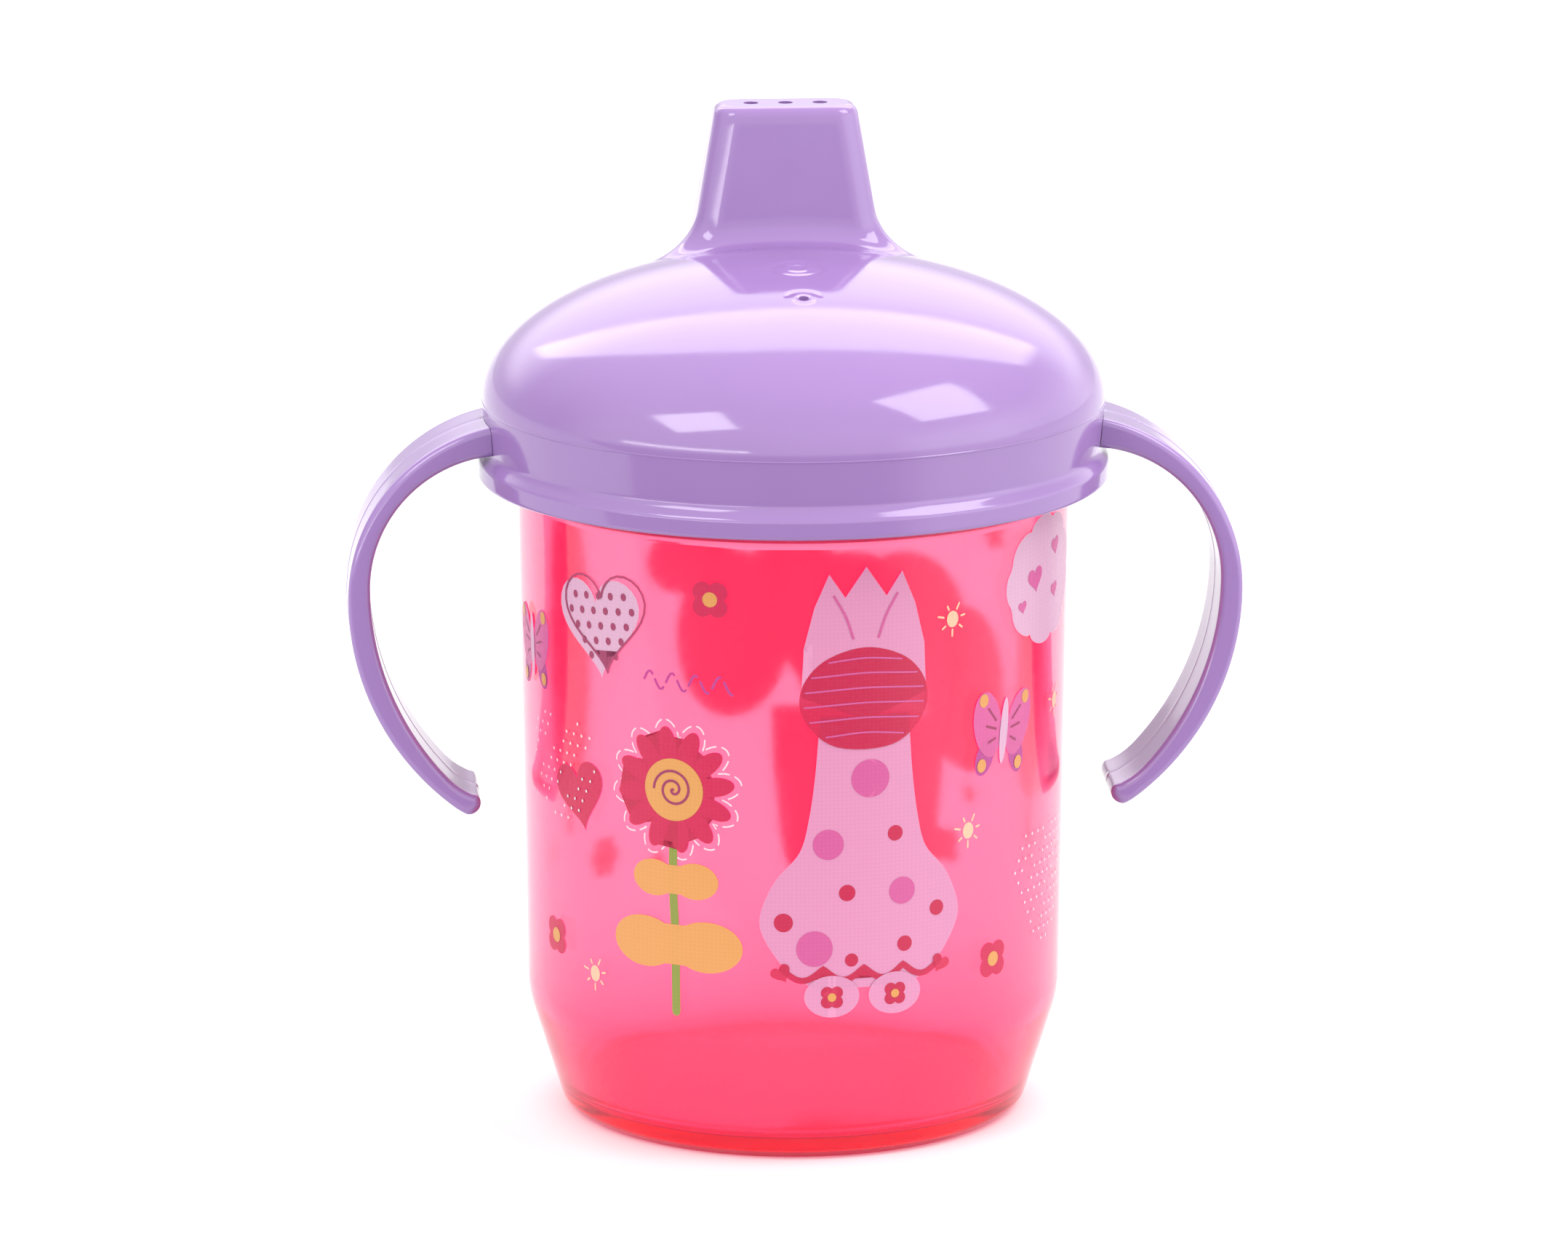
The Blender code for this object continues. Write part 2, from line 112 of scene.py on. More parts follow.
# Spout
SPOUT_TOP = LID_HIGH.z
SPOUT_TOP_Y = 14.7
SPOUT_BASE_Y = 16.0
SPOUT_HALF_WIDTH = 9.0
SPOUT_HALF_DEPTH = 4.1
SPOUT_WIDTH_DRAFT = 0.173
SPOUT_DEPTH_DRAFT = 0.13
SPOUT_CORNER = 3.2
SPOUT_EDGE = 1.2
SPOUT_SIDE_FILLET = 5.2
SPOUT_FRONT_FILLET = 2.8
SPOUT_HOLE_RADIUS = 0.95
SPOUT_HOLE_PITCH = 4.4

# Valve sockets and vent
SOCKET_LOW = 101.0
SPOUT_SOCKET_Y = 15.0
SPOUT_SOCKET_BORE = 7.6
SPOUT_SOCKET_RADIUS = 9.2
SPOUT_SOCKET_TOP = 105.2
VENT_Y = -18.0
VENT_SOCKET_BORE = 3.4
VENT_SOCKET_RADIUS = 5.0
VENT_SOCKET_TOP = 105.0
VENT_HOLE_RADIUS = 0.65
GATE_Y = -7.0  # the mould's gate mark on the dome

# Valve
VALVE_PLATE = 1.7
VALVE_FLANGE_EXTRA = 2.7
VALVE_SKIN = 0.8
VALVE_GAP = 0.3
SLIT_HALF = 0.12
BRIDGE_HALF_WIDTH = 4.5
TAB_LENGTH = 8.0

# Handles
HANDLE_WIDTH = HANDLE_HIGH.y - HANDLE_LOW.y
HANDLE_EDGE = 0.85
HANDLE_REACH = HANDLE_HIGH.x
HANDLE_INNER_REACH = HANDLE_REACH - 2.9
HANDLE_OUTER_MIDDLE = 67.5
HANDLE_INNER_MIDDLE = 69.0
HANDLE_UPPER_RADIUS = 22.8
HANDLE_LOWER_RADIUS = 34.0
HANDLE_UPPER_HOLLOW = 17.1
HANDLE_LOWER_HOLLOW = 36.2
HANDLE_NOSE = 1.3  # how far the round nose runs past the strap's last full section
TONGUE_HALF_WIDTH = 4.5
TONGUE_LOW = 86.9
TONGUE_HIGH = 89.0

# Print
PRINT_LIFT = 0.05
PRINT_LAYER = 0.03
PRINT_STRIP = 1.2
SCREEN_PITCH = 0.26
INK_DEPTH = 0.58
# painted light: the base coat's glow stands in for light soaking through the print
BASE_COAT_PAINTED_GLOW = 1.2

# Colours, as light
LILAC_LIGHT = (0.25, 0.143, 0.355)
LILAC_DARK = (0.238, 0.132, 0.338)
PINK_LIGHT = (0.975, 0.66, 0.7)
PINK_DARK = (0.97, 0.63, 0.68)
# painted shade: the deeper pink the wall is painted towards its foot
PINK_BASE_PAINTED_SHADE = (0.94, 0.4, 0.52)
PINK_DEEP = (0.965, 0.07, 0.51)  # what is left of light in the depth of the plastic
SILICONE_LIGHT = (0.86, 0.87, 0.90)
SILICONE_DARK = (0.80, 0.81, 0.85)
PAINTED_UNDER_CUP_LIGHT = (0.64, 0.0, 0.1)  # painted pink light, standing in for the light that comes through the cup's base onto the paper

# The colour sockets of Blender's mix node
MIX_FIRST = 6
MIX_SECOND = 7
MIX_RESULT = 2

# View
VIEW_TURN = -4.0
VIEW_PITCH = 13.2475
VIEW_DISTANCE = 1100.0
VIEW_HEIGHT = 320.8
VIEW_SIDESTEP = 1.2
SENSOR = 36.0
LENS = 203.79

# Light, where 1 is the white of the page
CEILING = 1.45
FRONT = 1.75
BACK = 0.75
STRIP = 2.9
SOFT_BOX = 5.7
LAMP_DISTANCE = 1500.0
FLOOR_HALF = 4000.0
FLOOR_DROP = 0.02
FLOOR_FRONT = 125.0  # the table ends this far in front of the cup, and the room beyond it is dim


# Meshes


def turn_point(point, angle):
    u, v = point
    return u * cos(angle) - v * sin(angle), u * sin(angle) + v * cos(angle)


def rounded(corners):
    """A path through corners (u, v, radius), each rounded by an arc of its radius, or sharp at 0."""
    path = []
    count = len(corners)
    for index, (u, v, radius) in enumerate(corners):
        here = Vector((u, v))
        if not radius:
            path.append((here.x, here.y))
            continue
        back = (Vector(corners[index - 1][:2]) - here).normalized()
        ahead = (Vector(corners[(index + 1) % count][:2]) - here).normalized()
        half = back.angle(ahead) / 2
        centre = here + (back + ahead).normalized() * radius / sin(half)
        start = here + back * radius / tan(half) - centre
        end = here + ahead * radius / tan(half) - centre
        turn = start.angle_signed(end)
        steps = max(2, ceil(abs(turn) / ARC_STEP))
        for step in range(steps + 1):
            x, y = turn_point(start, -turn * step / steps)
            path.append((centre.x + x, centre.y + y))
    return path


def linked(name, shape):
    """An object in the scene from a bmesh in millimetres."""
    bmesh.ops.scale(shape, vec=(MM, MM, MM), verts=shape.verts)
    mesh = bpy.data.meshes.new(name)
    shape.to_mesh(mesh)
    shape.free()
    obj = bpy.data.objects.new(name, mesh)
    bpy.context.scene.collection.objects.link(obj)
    return obj


def object_of(name, shape):
    """An object from a bmesh in millimetres, with its faces turned outwards."""
    bmesh.ops.recalc_face_normals(shape, faces=shape.faces)
    return linked(name, shape)


def skin(rings, wrap=False):
    """A bmesh through rings of equal length, capped at both ends, or closed on itself with wrap."""
    shape = bmesh.new()
    grid = [[shape.verts.new(point) for point in ring] for ring in rings]
    following = grid[1:] + grid[:1] if wrap else grid[1:]
    for here, there in zip(grid, following):
        for index in range(len(here)):
            before = index - 1
            shape.faces.new((here[before], here[index], there[index], there[before]))
    if not wrap:
        shape.faces.new(grid[0])
        shape.faces.new(grid[-1])
    return shape


def angles_round(steps):
    return [2 * pi * step / steps for step in range(steps)]


def ring(radius, height, steps, shape=None):
    """A circle about Z; shape may change the radius by the angle in degrees and the height."""
    points = []
    for step, angle in enumerate(angles_round(steps)):
        here = radius + (shape(360 * step / steps, height) if shape else 0.0)
        points.append((here * cos(angle), here * sin(angle), height))
    return points


def circles(path, steps=TURN_STEPS):
    return [ring(radius, height, steps) for radius, height in path]


def turned(path, steps=TURN_STEPS, wrap=False):
    return skin(circles(path, steps), wrap)


def finish(obj):
    """Smooth shading that keeps sharp edges, with normals that follow the larger faces."""
    obj.data.shade_smooth()
    obj.data.set_sharp_from_angle(angle=SHARP_EDGE)
    weighted = obj.modifiers.new("Even normals", "WEIGHTED_NORMAL")
    weighted.keep_sharp = True
    return obj


def applied(obj):
    """The object with its modifiers made part of its mesh, and the tools they used removed."""
    graph = bpy.context.evaluated_depsgraph_get()
    mesh = bpy.data.meshes.new_from_object(obj.evaluated_get(graph))
    tools = {modifier.object for modifier in obj.modifiers if modifier.type == "BOOLEAN"}
    obj.modifiers.clear()
    obj.data = mesh
    for tool in tools:
        bpy.data.objects.remove(tool)
    return obj


def combine(obj, operation, *shapes):
    for shape in shapes:
        tool = object_of(f"{obj.name}_{operation.lower()}", shape)
        tool.hide_render = True
        boolean = obj.modifiers.new(operation, "BOOLEAN")
        boolean.operation = operation
        boolean.object = tool


def round_bar(radius, low, high, y=0.0, steps=48, bore=0.0, x=0.0):
    """An upright bar at x, y, or a tube if it has a bore."""
    path = [(radius, low), (radius, high)]
    if bore:
        path = [(bore, low), *path, (bore, high)]
    shape = turned(path, steps, wrap=bool(bore))
    bmesh.ops.translate(shape, vec=(x, y, 0.0), verts=shape.verts)
    return shape


def block(low, high):
    shape = bmesh.new()
    bmesh.ops.create_cube(shape, size=1.0)
    bmesh.ops.scale(shape, vec=[b - a for a, b in zip(low, high)], verts=shape.verts)
    bmesh.ops.translate(shape, vec=[(a + b) / 2 for a, b in zip(low, high)], verts=shape.verts)
    return shape


def heights(low, high, step):
    return np.linspace(low, high, ceil(abs(high - low) / step) + 1).tolist()


def smooth(value):
    value = min(1.0, max(0.0, value))
    return value * value * (3 - 2 * value)


# Tumbler


def thread(rise, drop=0.0, delay=0.0):
    """The radius added by the two-start thread at an angle in degrees and a height."""

    def shape(degrees, height):
        added = 0.0
        for start in range(THREAD_STARTS):
            along = (degrees - 360 / THREAD_STARTS * start) % 360
            if not delay <= along <= THREAD_SWEEP:
                continue
            middle = THREAD_LOW - drop + THREAD_LEAD * along / 360
            fade = smooth(min(along - delay, THREAD_SWEEP - along) / THREAD_FADE)
            added += rise * fade * smooth(1.6 * (1 - abs(height - middle) / THREAD_HALF))
        return added

    return shape


def cup_shell():
    """The tumbler's wall, floor, foot ring and threaded neck in one closed surface."""
    inner = [(0, FLOOR_HEIGHT, 0)]
    for radius, height, rounding in (
        (TAPER_RADIUS, FLOOR_HEIGHT, 3.0),
        (SHOULDER_RADIUS, SHOULDER_HEIGHT, 10.0),
        (BODY_RADIUS, BODY_HEIGHT - 3.0, 2.0),
        (NECK_RADIUS, BODY_HEIGHT, 2.0),
        (NECK_RADIUS, RIM_HEIGHT, 0.8),
    ):
        inner.append((radius - BODY_WALL, height, rounding))
    inner += [(NECK_RADIUS, RIM_HEIGHT, 0.8), (NECK_RADIUS, RIM_HEIGHT - 2.0, 0)]
    outer = [
        (NECK_RADIUS, BODY_HEIGHT + 1.0, 0),
        (NECK_RADIUS, BODY_HEIGHT, 0.3),
        (BODY_RADIUS, BODY_HEIGHT, 0.8),
        (SHOULDER_RADIUS, SHOULDER_HEIGHT, 12.0),
        (TAPER_RADIUS, TAPER_HEIGHT, 2.0),
        (BASE_RADIUS, 0, 0.5),
        (BASE_RADIUS - FOOT_WIDTH, 0, 0.4),
        (BASE_RADIUS - FOOT_WIDTH - FOOT_DEPTH, FOOT_DEPTH, 0.3),
        (0, FOOT_DEPTH, 0),
    ]
    neck = heights(RIM_HEIGHT - 2.0, BODY_HEIGHT + 1.0, THREAD_ROW)[1:-1]
    threaded = [ring(NECK_RADIUS, height, TURN_STEPS, thread(THREAD_RISE)) for height in neck]
    rings = circles(rounded(inner)[1:]) + threaded + circles(rounded(outer)[:-1])
    return finish(object_of("cup_shell", skin(rings)))


# Lid


def dome_height(distance, radius=DOME_RADIUS, rise=DOME_RISE):
    return DOME_LOW + rise * np.sqrt(np.clip(1 - (distance / radius) ** 2, 0, 1))


def spout_outline(direction, height, offset, inset=0.0):
    """Points at an offset outside the spout's section, one for each direction from its middle."""
    below = SPOUT_TOP - height
    half_x = SPOUT_HALF_WIDTH + SPOUT_WIDTH_DRAFT * below - inset
    half_y = SPOUT_HALF_DEPTH + SPOUT_DEPTH_DRAFT * below - inset
    corner = SPOUT_CORNER - inset
    near = np.zeros(len(direction))
    far = near + 2 * DOME_RADIUS
    for _ in range(40):
        middle = (near + far) / 2
        past_x = np.abs(direction[:, 0] * middle) - half_x + corner
        past_y = np.abs(direction[:, 1] * middle) - half_y + corner
        out = np.hypot(np.maximum(past_x, 0), np.maximum(past_y, 0))
        distance = out + np.minimum(np.maximum(past_x, past_y), 0) - corner
        near = np.where(distance < offset, middle, near)
        far = np.where(distance < offset, far, middle)
    sideways = np.maximum(past_x, 0) / np.maximum(out, 1e-9)
    shift = SPOUT_TOP_Y + (SPOUT_BASE_Y - SPOUT_TOP_Y) * below / (SPOUT_TOP - DOME_LOW - DOME_RISE)
    return direction[:, 0] * near, direction[:, 1] * near + shift, sideways


def lid_top_rings():
    """The lid's outside, from the spout's flat top down to the dome's widest."""
    turn = np.arange(LID_STEPS) * 2 * pi / LID_STEPS
    edge = np.stack([DOME_RADIUS * np.cos(turn), DOME_RADIUS * np.sin(turn)], axis=1)
    direction = edge - [0.0, SPOUT_BASE_Y]
    direction /= np.linalg.norm(direction, axis=1)[:, None]
    rings = []

    def add(x, y, z):
        rings.append(list(zip(x, y, np.broadcast_to(z, x.shape))))

    for angle in np.linspace(0, pi / 2, 8):
        height = SPOUT_TOP - SPOUT_EDGE * (1 - cos(angle))
        x, y, _ = spout_outline(direction, height, 0.0, SPOUT_EDGE * (1 - sin(angle)))
        add(x, y, height)

    def fillet(angle):
        """The ring part way round the fillet from the wall, at 0, to the dome, at a quarter turn."""
        height = np.full(LID_STEPS, DOME_LOW + DOME_RISE)
        for _ in range(6):
            _, _, sideways = spout_outline(direction, height, 0.0)
            radius = SPOUT_FRONT_FILLET + (SPOUT_SIDE_FILLET - SPOUT_FRONT_FILLET) * sideways**2
            x, y, _ = spout_outline(direction, height, radius * (1 - cos(angle)))
            height = dome_height(np.hypot(x, y)) + radius * (1 - sin(angle))
        return x, y, height

    _, _, foot = fillet(0.0)
    for share in np.linspace(0, 1, 14)[1:-1]:
        height = (SPOUT_TOP - SPOUT_EDGE) * (1 - share) + foot * share
        x, y, _ = spout_outline(direction, height, 0.0)
        add(x, y, height)
    for angle in np.linspace(0, pi / 2, 14):
        x, y, height = fillet(angle)
        add(x, y, height)
    for row in range(1, DOME_ROWS + 1):
        share = sin(pi / 2 * row / DOME_ROWS)
        across = x + (edge[:, 0] - x) * share
        along = y + (edge[:, 1] - y) * share
        add(across, along, dome_height(np.hypot(across, along)))
    return rings


def ripple(distance, middle, width):
    """A round ridge, 1 high at its middle distance."""
    return np.exp(-(((distance - middle) / width) ** 2))


def lid_marks(x, y):
    """What the vent's rim, the crescent beside it and the gate mark add to the dome's height."""
    from_vent = hypot(x, y - VENT_Y)
    towards_spout = (y - VENT_Y) / max(from_vent, 0.01)
    rim = 0.10 * ripple(from_vent, 1.1, 0.4)
    crescent = -0.12 * ripple(from_vent, 2.2, 0.4) * smooth(towards_spout * 1.6)
    from_gate = hypot(x, y - GATE_Y)
    return rim + crescent + 0.15 * ripple(from_gate, 1.4, 0.5) - 0.14 * ripple(from_gate, 3.1, 0.5)


def press_marks(shape):
    """Refines the dome in three rounds about the vent and the gate mark, and presses the marks into it."""

    def on_dome(vert, reach):
        x, y, z = vert.co
        near = min(hypot(x, y - VENT_Y), hypot(x, y - GATE_Y)) < reach
        return near and abs(z - dome_height(hypot(x, y))) < 0.2

    for reach in (5.0, 4.4, 4.0):
        edges = [edge for edge in shape.edges if all(on_dome(vert, reach) for vert in edge.verts)]
        bmesh.ops.subdivide_edges(shape, edges=edges, cuts=1, use_grid_fill=True)
        for vert in shape.verts:
            if on_dome(vert, reach + 1):
                vert.co.z = dome_height(hypot(vert.co.x, vert.co.y))
    for vert in shape.verts:
        if on_dome(vert, 5.0):
            vert.co.z += lid_marks(vert.co.x, vert.co.y)


def lid_hollow_path():
    """The underside, from the thread up over the plug and its ledge to the middle."""
    radius = DOME_RADIUS - LID_WALL
    rise = DOME_RISE - LID_WALL

    def under(start, end, count):
        return [(r, float(dome_height(r, radius, rise)), 0) for r in np.linspace(start, end, count)]

    gully = under(SKIRT_INSIDE, PLUG_OUTSIDE, 12)
    ceiling = under(PLUG_INSIDE, 1.0, 40)
    plug = [
        (PLUG_OUTSIDE, LEDGE_TOP, 0.3),
        (LEDGE_RADIUS, LEDGE_TOP, 0.3),
        (LEDGE_RADIUS, LEDGE_LOW, 0.3),
        (PLUG_OUTSIDE, LEDGE_LOW, 0.2),
        (PLUG_OUTSIDE, PLUG_LOW, 0.4),
        (PLUG_INSIDE, PLUG_LOW, 0.4),
    ]
    return rounded([(SKIRT_INSIDE, PLUG_LOW, 0)] + gully + plug + ceiling)[1:]


def spout_channel():
    """The drinking channel, from the valve's socket up to the skin that the holes go through."""
    stations = (
        (SPOUT_SOCKET_TOP - 0.5, 6.8, 5.6, 15.0),
        (108.0, 8.0, 4.9, 15.4),
        (112.0, 9.0, 4.2, 15.6),
        (118.0, 8.4, 3.4, 15.2),
        (SPOUT_TOP - 1.8, 7.3, 2.5, SPOUT_TOP_Y),
    )
    rings = []
    for height, wide, deep, middle in stations:
        corners = [(wide * x, deep * y, 2.0) for x, y in ((1, -1), (1, 1), (-1, 1), (-1, -1))]
        rings.append([(x, y + middle, height) for x, y in rounded(corners)])
    return skin(rings)


def lid_shell():
    """The lid: spout, dome, skirt and lip outside, and the plug, ledge, thread and sockets inside."""
    steps = ((-0.01, 1), (SEAM_RISE, 1.6), (SEAM_RISE, 2.6), (-0.02, 3.2))
    seam = [(DOME_RADIUS + out, DOME_LOW - down * SEAM_HALF) for out, down in steps]
    skirt = [
        (DOME_RADIUS, DOME_LOW - 0.6, 0),
        (SKIRT_RADIUS, LIP_TOP + 0.7, 1.6),
        (LIP_RADIUS, LIP_TOP - 0.5, 0.9),
        (LIP_RADIUS, LIP_LOW, 0.6),
        (SKIRT_INSIDE, LIP_LOW, 0.4),
        (SKIRT_INSIDE, LIP_LOW + 1.0, 0),
    ]
    thread_inside = thread(-LID_THREAD_RISE, LID_THREAD_DROP, LID_THREAD_DELAY)
    skirt_rows = heights(LIP_LOW + 1.0, PLUG_LOW, THREAD_ROW)[1:]
    rings = lid_top_rings() + circles(seam + rounded(skirt)[1:], LID_STEPS)
    rings += [ring(SKIRT_INSIDE, height, LID_STEPS, thread_inside) for height in skirt_rows]
    rings += circles(lid_hollow_path(), LID_STEPS)
    shape = skin(rings)
    press_marks(shape)
    shell = object_of("lid_shell", shape)
    vent = (VENT_Y, VENT_SOCKET_RADIUS, VENT_SOCKET_BORE, VENT_SOCKET_TOP)
    spout = (SPOUT_SOCKET_Y, SPOUT_SOCKET_RADIUS, SPOUT_SOCKET_BORE, SPOUT_SOCKET_TOP)
    for y, radius, bore, _ in (spout, vent):
        combine(shell, "UNION", round_bar(radius, SOCKET_LOW, SOCKET_LOW + 5, y, 96, bore))
    cuts = [round_bar(bore, SOCKET_LOW - 1, top, y, 64) for y, _, bore, top in (vent, spout)]
    cuts.append(spout_channel())
    for x in (-SPOUT_HOLE_PITCH, 0.0, SPOUT_HOLE_PITCH):
        cuts.append(round_bar(SPOUT_HOLE_RADIUS, SPOUT_TOP - 4, SPOUT_TOP + 1, SPOUT_TOP_Y, 40, x=x))
    cuts.append(round_bar(VENT_HOLE_RADIUS, VENT_SOCKET_TOP - 1, VENT_SOCKET_TOP + 5, VENT_Y, 32))
    half = TONGUE_HALF_WIDTH + VALVE_GAP
    for low, high in ((-DOME_RADIUS - 1, 1 - SKIRT_INSIDE), (SKIRT_INSIDE - 1, DOME_RADIUS + 1)):
        cuts.append(block((low, -half, TONGUE_LOW - VALVE_GAP), (high, half, TONGUE_HIGH + VALVE_GAP)))
    combine(shell, "DIFFERENCE", *cuts)
    return finish(applied(shell))


# Handles


def arc(reach, height, radius, first, last, steps):
    """Points of a circle that comes out to reach at a height, between angles in degrees from +X to +Z."""
    angles = [radians(first + (last - first) * step / steps) for step in range(steps + 1)]
    return [(reach - radius + radius * cos(angle), height + radius * sin(angle)) for angle in angles]


def strap_edges():
    """The strap's outer and inner edges in its side view, paired point by point from root to tip."""
    reach = HANDLE_REACH - SEAM_RISE
    outer_path = arc(reach, HANDLE_OUTER_MIDDLE, HANDLE_UPPER_RADIUS, 81, 0, 40)
    outer_path += arc(reach, HANDLE_OUTER_MIDDLE, HANDLE_LOWER_RADIUS, 0, -52, 40)[1:]
    inner_path = arc(HANDLE_INNER_REACH, HANDLE_INNER_MIDDLE, HANDLE_UPPER_HOLLOW, 87, 0, 40)
    inner_path += arc(HANDLE_INNER_REACH, HANDLE_INNER_MIDDLE, HANDLE_LOWER_HOLLOW, 0, -41, 36)[1:]
    inner_path += [(44.3, 44.45), (43.4, 43.6), (42.6, 43.0), (41.9, 42.6), (41.3, 42.3), (40.75, 42.15)]
    outer_path += [(42.9, 40.15), (42.2, 39.75)]
    return list(zip(outer_path, inner_path))


def strap_section(outer, inner):
    """The strap's section between two points of its edges, with rounded corners and two mould lines."""
    outer, inner = Vector(outer), Vector(inner)
    middle = (outer + inner) / 2
    across = (outer - inner).normalized()
    half = (outer - inner).length / 2
    wide = HANDLE_WIDTH / 2
    radius = min(HANDLE_EDGE, half - 0.05)
    face = [(share * (wide - radius), half) for share in (-1, -0.75, -0.5, -0.25)]
    face += [(-SEAM_HALF, half), (0.0, half + SEAM_RISE), (SEAM_HALF, half)]
    face += [(-y, lift) for y, lift in reversed(face[:4])]
    corner = []
    for step in range(1, 6):
        angle = pi / 2 * step / 6
        corner.append((wide - radius + radius * sin(angle), half - radius + radius * cos(angle)))
    side = [(wide, (half - radius) * share) for share in (1, 0, -1)]
    right = face + corner + side + [(y, -lift) for y, lift in reversed(corner)]
    points = right + [(-y, -lift) for y, lift in right]
    return [(middle.x + across.x * lift, y, middle.y + across.y * lift) for y, lift in points]


def handle_strap(name, side):
    """One handle: the strap with its round nose, and the tongue in the lid's slot."""
    edges = strap_edges()
    rings = [strap_section(outer, inner) for outer, inner in edges]
    last = [Vector(point) for point in rings[-1]]
    centre = sum(last, Vector()) / len(last)
    outer, inner = edges[-1]
    away = Vector((outer[1] - inner[1], 0, inner[0] - outer[0])).normalized()
    for step in range(1, 8):
        angle = pi / 2 * step / 8
        thin = cos(angle)
        size = Vector((thin, 1 - (1 - thin) * 2 * HANDLE_NOSE / HANDLE_WIDTH, thin))
        rings.append([centre + (point - centre) * size + away * HANDLE_NOSE * sin(angle) for point in last])
    strap = object_of(name, skin(rings))
    slope = (DOME_RADIUS - SKIRT_RADIUS) / (DOME_LOW - LIP_TOP)
    ends = (LIP_TOP - 3, DOME_LOW + 4)
    cone = [(SKIRT_RADIUS + HAIR + slope * (height - LIP_TOP), height) for height in ends]
    combine(strap, "DIFFERENCE", turned(cone))
    tongue_low = (SKIRT_INSIDE - 1.2, -TONGUE_HALF_WIDTH, TONGUE_LOW)
    tongue_high = (SKIRT_RADIUS + 2, TONGUE_HALF_WIDTH, TONGUE_HIGH)
    combine(strap, "UNION", block(tongue_low, tongue_high))
    applied(strap)
    if side < 0:
        strap.data.transform(Matrix.Rotation(pi, 4, "Z"))
    return finish(strap)


# Seal and valve


def seal_lips():
    """The seal ring, with rounded edges and a fine groove round its outside."""
    inside = PLUG_OUTSIDE + VALVE_GAP
    outside = SEAL_HIGH.x
    low, high = SEAL_LOW.z, SEAL_HIGH.z
    middle = (low + high) / 2
    corners = [
        (inside, low, 0.25),
        (inside, high, 0.25),
        (outside, high, 0.3),
        (outside, middle + 0.2, 0.05),
        (outside - 0.25, middle, 0.1),
        (outside, middle - 0.2, 0.05),
        (outside, low, 0.3),
    ]
    return finish(object_of("seal_lips", turned(rounded(corners), wrap=True)))


def valve_plug(bore, top, wall, y):
    """A cup that fits up a socket, closed at its top by the skin that the slits go through."""
    outside = bore - VALVE_GAP
    plate_top = SOCKET_LOW - VALVE_GAP
    plate_low = plate_top - VALVE_PLATE
    crown = top - 0.8
    flange = bore + VALVE_FLANGE_EXTRA
    corners = [
        (0.0, crown, 0),
        (outside, crown, 0.6),
        (outside, crown - 1.2, 0.1),
        (outside - 0.25, crown - 1.5, 0.1),
        (outside, crown - 1.8, 0.1),
        (outside, plate_top, 0.3),
        (flange, plate_top, 0.4),
        (flange, plate_low, 0.4),
        (outside - wall, plate_low, 0.3),
        (outside - wall, crown - VALVE_SKIN, 0.3),
        (0.0, crown - VALVE_SKIN, 0),
    ]
    shape = turned(rounded(corners)[1:-1], 96)
    bmesh.ops.translate(shape, vec=(0.0, y, 0.0), verts=shape.verts)
    return shape


def spill_valve():
    """Two plugs joined by a bridge, a tab to pull by, and a crossed slit in each plug's skin."""
    plate_top = SOCKET_LOW - VALVE_GAP
    plate_low = plate_top - VALVE_PLATE
    half = BRIDGE_HALF_WIDTH
    spout_plug = valve_plug(SPOUT_SOCKET_BORE, SPOUT_SOCKET_TOP, 1.6, SPOUT_SOCKET_Y)
    vent_plug = valve_plug(VENT_SOCKET_BORE, VENT_SOCKET_TOP, 1.0, VENT_Y)
    bridge_low = (-half, VENT_Y + VENT_SOCKET_BORE + 1, plate_low + 0.1)
    bridge = block(bridge_low, (half, SPOUT_SOCKET_Y - SPOUT_SOCKET_BORE, plate_top - 0.1))
    tab = block((0, -6, plate_low + 0.2), (half + TAB_LENGTH, 2, plate_top - 0.2))
    valve = object_of("valve_membrane", spout_plug)
    combine(valve, "UNION", vent_plug, bridge, tab)
    for y, reach in ((SPOUT_SOCKET_Y, 4.0), (VENT_Y, 1.5)):
        for wide, deep in ((reach, SLIT_HALF), (SLIT_HALF, reach)):
            slit = block((-wide, y - deep, plate_top + 1), (wide, y + deep, plate_top + 6))
            combine(valve, "DIFFERENCE", slit)
    return finish(applied(valve))


# Print


def placed(points, centre, turn=0.0, size=1.0):
    moved = [turn_point((u * size, v * size), radians(turn)) for u, v in points]
    return [(u + centre[0], v + centre[1]) for u, v in moved]


def polar(radius, steps):
    """A closed outline from its radius as a function of the angle."""
    return [(radius(angle) * cos(angle), radius(angle) * sin(angle)) for angle in angles_round(steps)]


def oval(half_u, half_v, steps=40):
    return [(half_u * cos(angle), half_v * sin(angle)) for angle in angles_round(steps)]


def heart(width):
    """A heart as wide as width, from the usual sine curve."""
    points = []
    for angle in angles_round(44):
        u = 16 * sin(angle) ** 3
        v = 13 * cos(angle) - 5 * cos(2 * angle) - 2 * cos(3 * angle) - cos(4 * angle)
        points.append((u * width / 32, (v + 2.5) * width / 32))
    return points


def flower(petals, middle, petal):
    """Round petals: circles of the petal's radius about points at the middle distance."""

    def edge(angle):
        off = (angle + pi / petals) % (2 * pi / petals) - pi / petals
        return middle * cos(off) + sqrt(max(petal**2 - (middle * sin(off)) ** 2, 0.0))

    return polar(edge, petals * 14)


def daisy(petals, inner, outer):
    """Long petals: the radius swings between the notch and the round tip."""
    return polar(lambda angle: inner + (outer - inner) * abs(cos(petals * angle / 2)) ** 0.75, petals * 16)


def spline(share, p, q, r, s):
    """A Catmull-Rom curve's value a share of the way from q to r."""
    steep = 2 * p - 5 * q + 4 * r - s
    return 0.5 * (2 * q + (r - p) * share + steep * share * share + (3 * q - p - 3 * r + s) * share**3)


